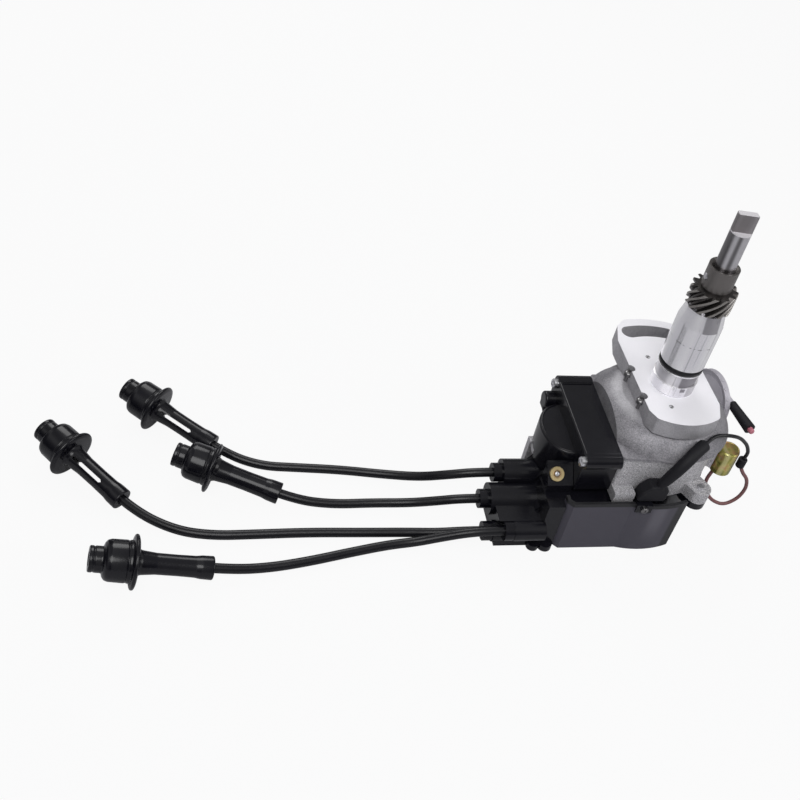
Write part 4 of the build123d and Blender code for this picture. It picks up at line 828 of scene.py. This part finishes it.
class DISTRIBUTOR_OT_canister(bpy.types.Operator):
    """Press the crimps round the rim of the vacuum canister"""

    bl_idname = "distributor.canister"
    bl_label = "Canister crimps"

    def execute(self, context):
        sizes = context.scene.distributor_canister
        across = canister_axes()[1]
        centre = canister_point(CANISTER_RIM_REACH)
        places = []
        for step in range(sizes.crimps):
            turn = 2 * pi * step / sizes.crimps
            way = across * cos(turn) + Vector((0, 0, 1)) * sin(turn)
            places.append((centre + way * (sizes.rim / MM / 2), way))
        pad = [(0, -0.5), (1.5, -0.5), (1.5, 0.45), (0, 0.45)]
        pad = lathe(rounded(pad, 0.4), Matrix.Identity(4), steps=20)
        scatter("canister_crimps", pad, places, "plated_steel")
        return {"FINISHED"}


class DISTRIBUTOR_OT_spring(bpy.types.Operator):
    """Wind the spring behind the diaphragm"""

    bl_idname = "distributor.spring"
    bl_label = "Diaphragm spring"

    def execute(self, context):
        along, across = canister_axes()
        low, high = SPRING_SPAN
        coil = []
        steps = int(SPRING_COILS * SPRING_POINTS)
        for step in range(steps + 1):
            turn = 2 * pi * step / SPRING_POINTS
            reach = low + SPRING_WIRE / 2 + (high - low - SPRING_WIRE) * step / steps
            around = across * cos(turn) + Vector((0, 0, 1)) * sin(turn)
            coil.append(canister_point(reach) + around * SPRING_RADIUS)
        wire = curve_piece("spring_wire", coil, SPRING_WIRE, "machined_steel", resolution=3)
        spring = add_mesh("vacuum_coil_spring", evaluated_mesh(wire), "machined_steel")
        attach(spring, ROOT)
        tuple(canister_point(high) * MM)
        1 - VACUUM_TRAVEL / (high - low)
        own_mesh(spring)
        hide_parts("vacuum_spring")
        return {"FINISHED"}


class DISTRIBUTOR_OT_cover(bpy.types.Operator):
    """Lay the fine edges on the coil cover, the condenser's rim and the brass insert's stud"""

    bl_idname = "distributor.cover"
    bl_label = "Cover, condenser and insert"

    def execute(self, context):
        x, y, z = BULGE_CENTRE
        depth = BULGE_DEPTH - BULGE_EDGE_INSET
        width = BULGE_HALF_WIDTH - BULGE_EDGE_INSET
        arc = [(x - depth * cos(radians(turn)), y + width * sin(radians(turn)), z - BULGE_EDGE_SINK)
               for turn in range(-84, 85, 12)]
        edge = curve_piece("bulge_edge", arc, BULGE_EDGE_DIAMETER, "black_resin")
        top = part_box("coil_cover")[1].z / MM
        line = [(x + reach, COVER_STEP_Y, top) for reach in COVER_STEP_REACHES]
        step = curve_piece("cover_step", line, COVER_STEP_DIAMETER, "black_resin")
        low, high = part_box("condenser_can")
        middle = (low + high) / 2
        rim = [(6.2, -0.4), (7.5, -0.4), (7.7, 0.1), (7.4, 0.5), (6.9, 0.5), (6.5, 0.2)]
        place = Matrix.Translation((middle.x, middle.y, high.z))
        ring = add_mesh("condenser_rim", lathe(rounded(rim, 0.2), place), "passivated_zinc")
        low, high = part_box("terminal_insert")
        place = Matrix.Translation((low + high) / 2) @ Matrix.Rotation(radians(INSERT_TILT), 4, "X")
        stud = [(0, -0.4), (1.5, -0.4), (1.9, 0.6), (1.5, 1.2), (0, 1.3)]
        core = add_mesh("insert_stud", lathe(rounded(stud, 0.3), place, steps=32), "zinc_screw")
        # Painted shade: a darker bronze ring set in the insert's hole stands for the shade in it.
        hole_shade_outline = [(1.95, -0.1), (3.3, -0.1), (3.3, 0.95), (2.6, 0.95)]
        shade = add_mesh("insert_seat", lathe(rounded(hole_shade_outline, 0.1), place, steps=40), "bronze")
        for piece in (edge, step, ring, core, shade):
            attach(piece, ROOT)
        return {"FINISHED"}


class DISTRIBUTOR_OT_stage(bpy.types.Operator):
    """Set the floor, the lamps and the camera"""

    bl_idname = "distributor.stage"
    bl_label = "Stage"

    def execute(self, context):
        stage = context.scene.distributor_stage
        make_floor(stage)
        make_lamps(stage)
        make_camera(stage)
        context.scene.view_settings.view_transform = "Standard"
        return {"FINISHED"}


def make_floor(stage):
    """A wide pale floor under the object."""
    form = bmesh.new()
    bmesh.ops.create_grid(form, x_segments=1, y_segments=1, size=FLOOR_HALF_SIDE)
    form.transform(Matrix.Translation((0.0, 0.0, FLOOR_Z - FLOOR_GAP)))
    mesh = bpy.data.meshes.new("floor")
    form.to_mesh(mesh)
    form.free()
    floor = bpy.data.objects.new("floor", mesh)
    bpy.context.scene.collection.objects.link(floor)
    finish = Finish("floor_finish", tuple(stage.floor_colour), 0.9)
    camera_ray = finish.node("ShaderNodeLightPath", output="Is Camera Ray")
    output = finish.tree.nodes["Material Output"]
    white = finish.node("ShaderNodeEmission", inputs={"Color": (1.0, 1.0, 1.0, 1.0), "Strength": 1.0})
    surface = Value(finish, finish.shader.outputs[0])
    mixed = finish.node("ShaderNodeMixShader", inputs={0: camera_ray * 0.92, 1: surface, 2: white})
    finish.tree.links.new(mixed.socket, output.inputs["Surface"])
    mesh.materials.append(finish.material)


def make_lamps(stage):
    """Soft lamps from above, and a pale world that turned metal reflects as upright strips."""
    for name, place, size, share in LAMPS:
        light = bpy.data.lights.new(name, "AREA")
        light.shape = "DISK"
        light.size = size
        light.energy = stage.key_power * share
        lamp = bpy.data.objects.new(name, light)
        lamp.location = place
        away = Vector(place) - Vector(LAMP_TARGET)
        lamp.rotation_euler = away.to_track_quat("Z", "Y").to_euler()
        bpy.context.scene.collection.objects.link(lamp)
    world = bpy.data.worlds.new("pale")
    world.use_nodes = True
    sky = Maker(world.node_tree)
    way = sky.node("ShaderNodeTexCoord", output="Generated")
    side = sky.node("ShaderNodeSeparateXYZ", inputs={0: way}, output="X")
    height = sky.node("ShaderNodeSeparateXYZ", inputs={0: way}, output="Z")
    strips = (side * 9.0 + 0.6).sine() * 0.5 + 0.5
    level = 0.10 + strips * strips * 0.75 + height.rise(0.2, 0.9) * 0.5
    seen = sky.node("ShaderNodeLightPath", output="Is Camera Ray")
    background = world.node_tree.nodes["Background"]
    background.inputs["Color"].default_value = (1.0, 1.0, 1.0, 1.0)
    strength = seen + (1.0 - seen) * level * stage.sky_level
    world.node_tree.links.new(strength.socket, background.inputs["Strength"])
    bpy.context.scene.world = world


def make_camera(stage):
    """The camera, which looks down on the part from in front of the leads."""
    right = Vector(CAMERA_RIGHT)
    up = Vector(CAMERA_UP)
    back = right.cross(up)
    data = bpy.data.cameras.new("camera")
    data.lens = stage.lens
    data.sensor_width = 36.0
    camera = bpy.data.objects.new("camera", data)
    turn = Matrix((right, up, back)).transposed().to_4x4()
    camera.matrix_world = Matrix.Translation(CAMERA_PLACE) @ turn
    bpy.context.scene.collection.objects.link(camera)
    bpy.context.scene.camera = camera


class DISTRIBUTOR_PT_panel(bpy.types.Panel):
    """Shows the sizes and the operators of the distributor"""

    bl_idname = "DISTRIBUTOR_PT_panel"
    bl_label = "Distributor"
    bl_space_type = "VIEW_3D"
    bl_region_type = "UI"
    bl_category = "Distributor"

    def draw(self, context):
        layout = self.layout
        scene = context.scene
        for group in (scene.distributor_leads, scene.distributor_canister, scene.distributor_stage):
            for name in group.__annotations__:
                layout.prop(group, name)
        for operator in OPERATORS:
            layout.operator(operator.bl_idname)


OPERATORS = (
    DISTRIBUTOR_OT_finishes,
    DISTRIBUTOR_OT_leads,
    DISTRIBUTOR_OT_screws,
    DISTRIBUTOR_OT_canister,
    DISTRIBUTOR_OT_spring,
    DISTRIBUTOR_OT_cover,
    DISTRIBUTOR_OT_stage,
)
CLASSES = (LeadSizes, CanisterSizes, StageSizes, *OPERATORS, DISTRIBUTOR_PT_panel)


def register():
    """Register the classes and hang the sizes on the scene."""
    for item in CLASSES:
        bpy.utils.register_class(item)
    bpy.types.Scene.distributor_leads = bpy.props.PointerProperty(type=LeadSizes)
    bpy.types.Scene.distributor_canister = bpy.props.PointerProperty(type=CanisterSizes)
    bpy.types.Scene.distributor_stage = bpy.props.PointerProperty(type=StageSizes)


def unregister():
    """Take the sizes off the scene and unregister the classes."""
    del bpy.types.Scene.distributor_stage
    del bpy.types.Scene.distributor_canister
    del bpy.types.Scene.distributor_leads
    for item in reversed(CLASSES):
        bpy.utils.unregister_class(item)


def main():
    """Register the classes and run every operator."""
    register()
    for operator in OPERATORS:
        group, action = operator.bl_idname.split(".")
        getattr(getattr(bpy.ops, group), action)()


if __name__ == "__main__":
    main()
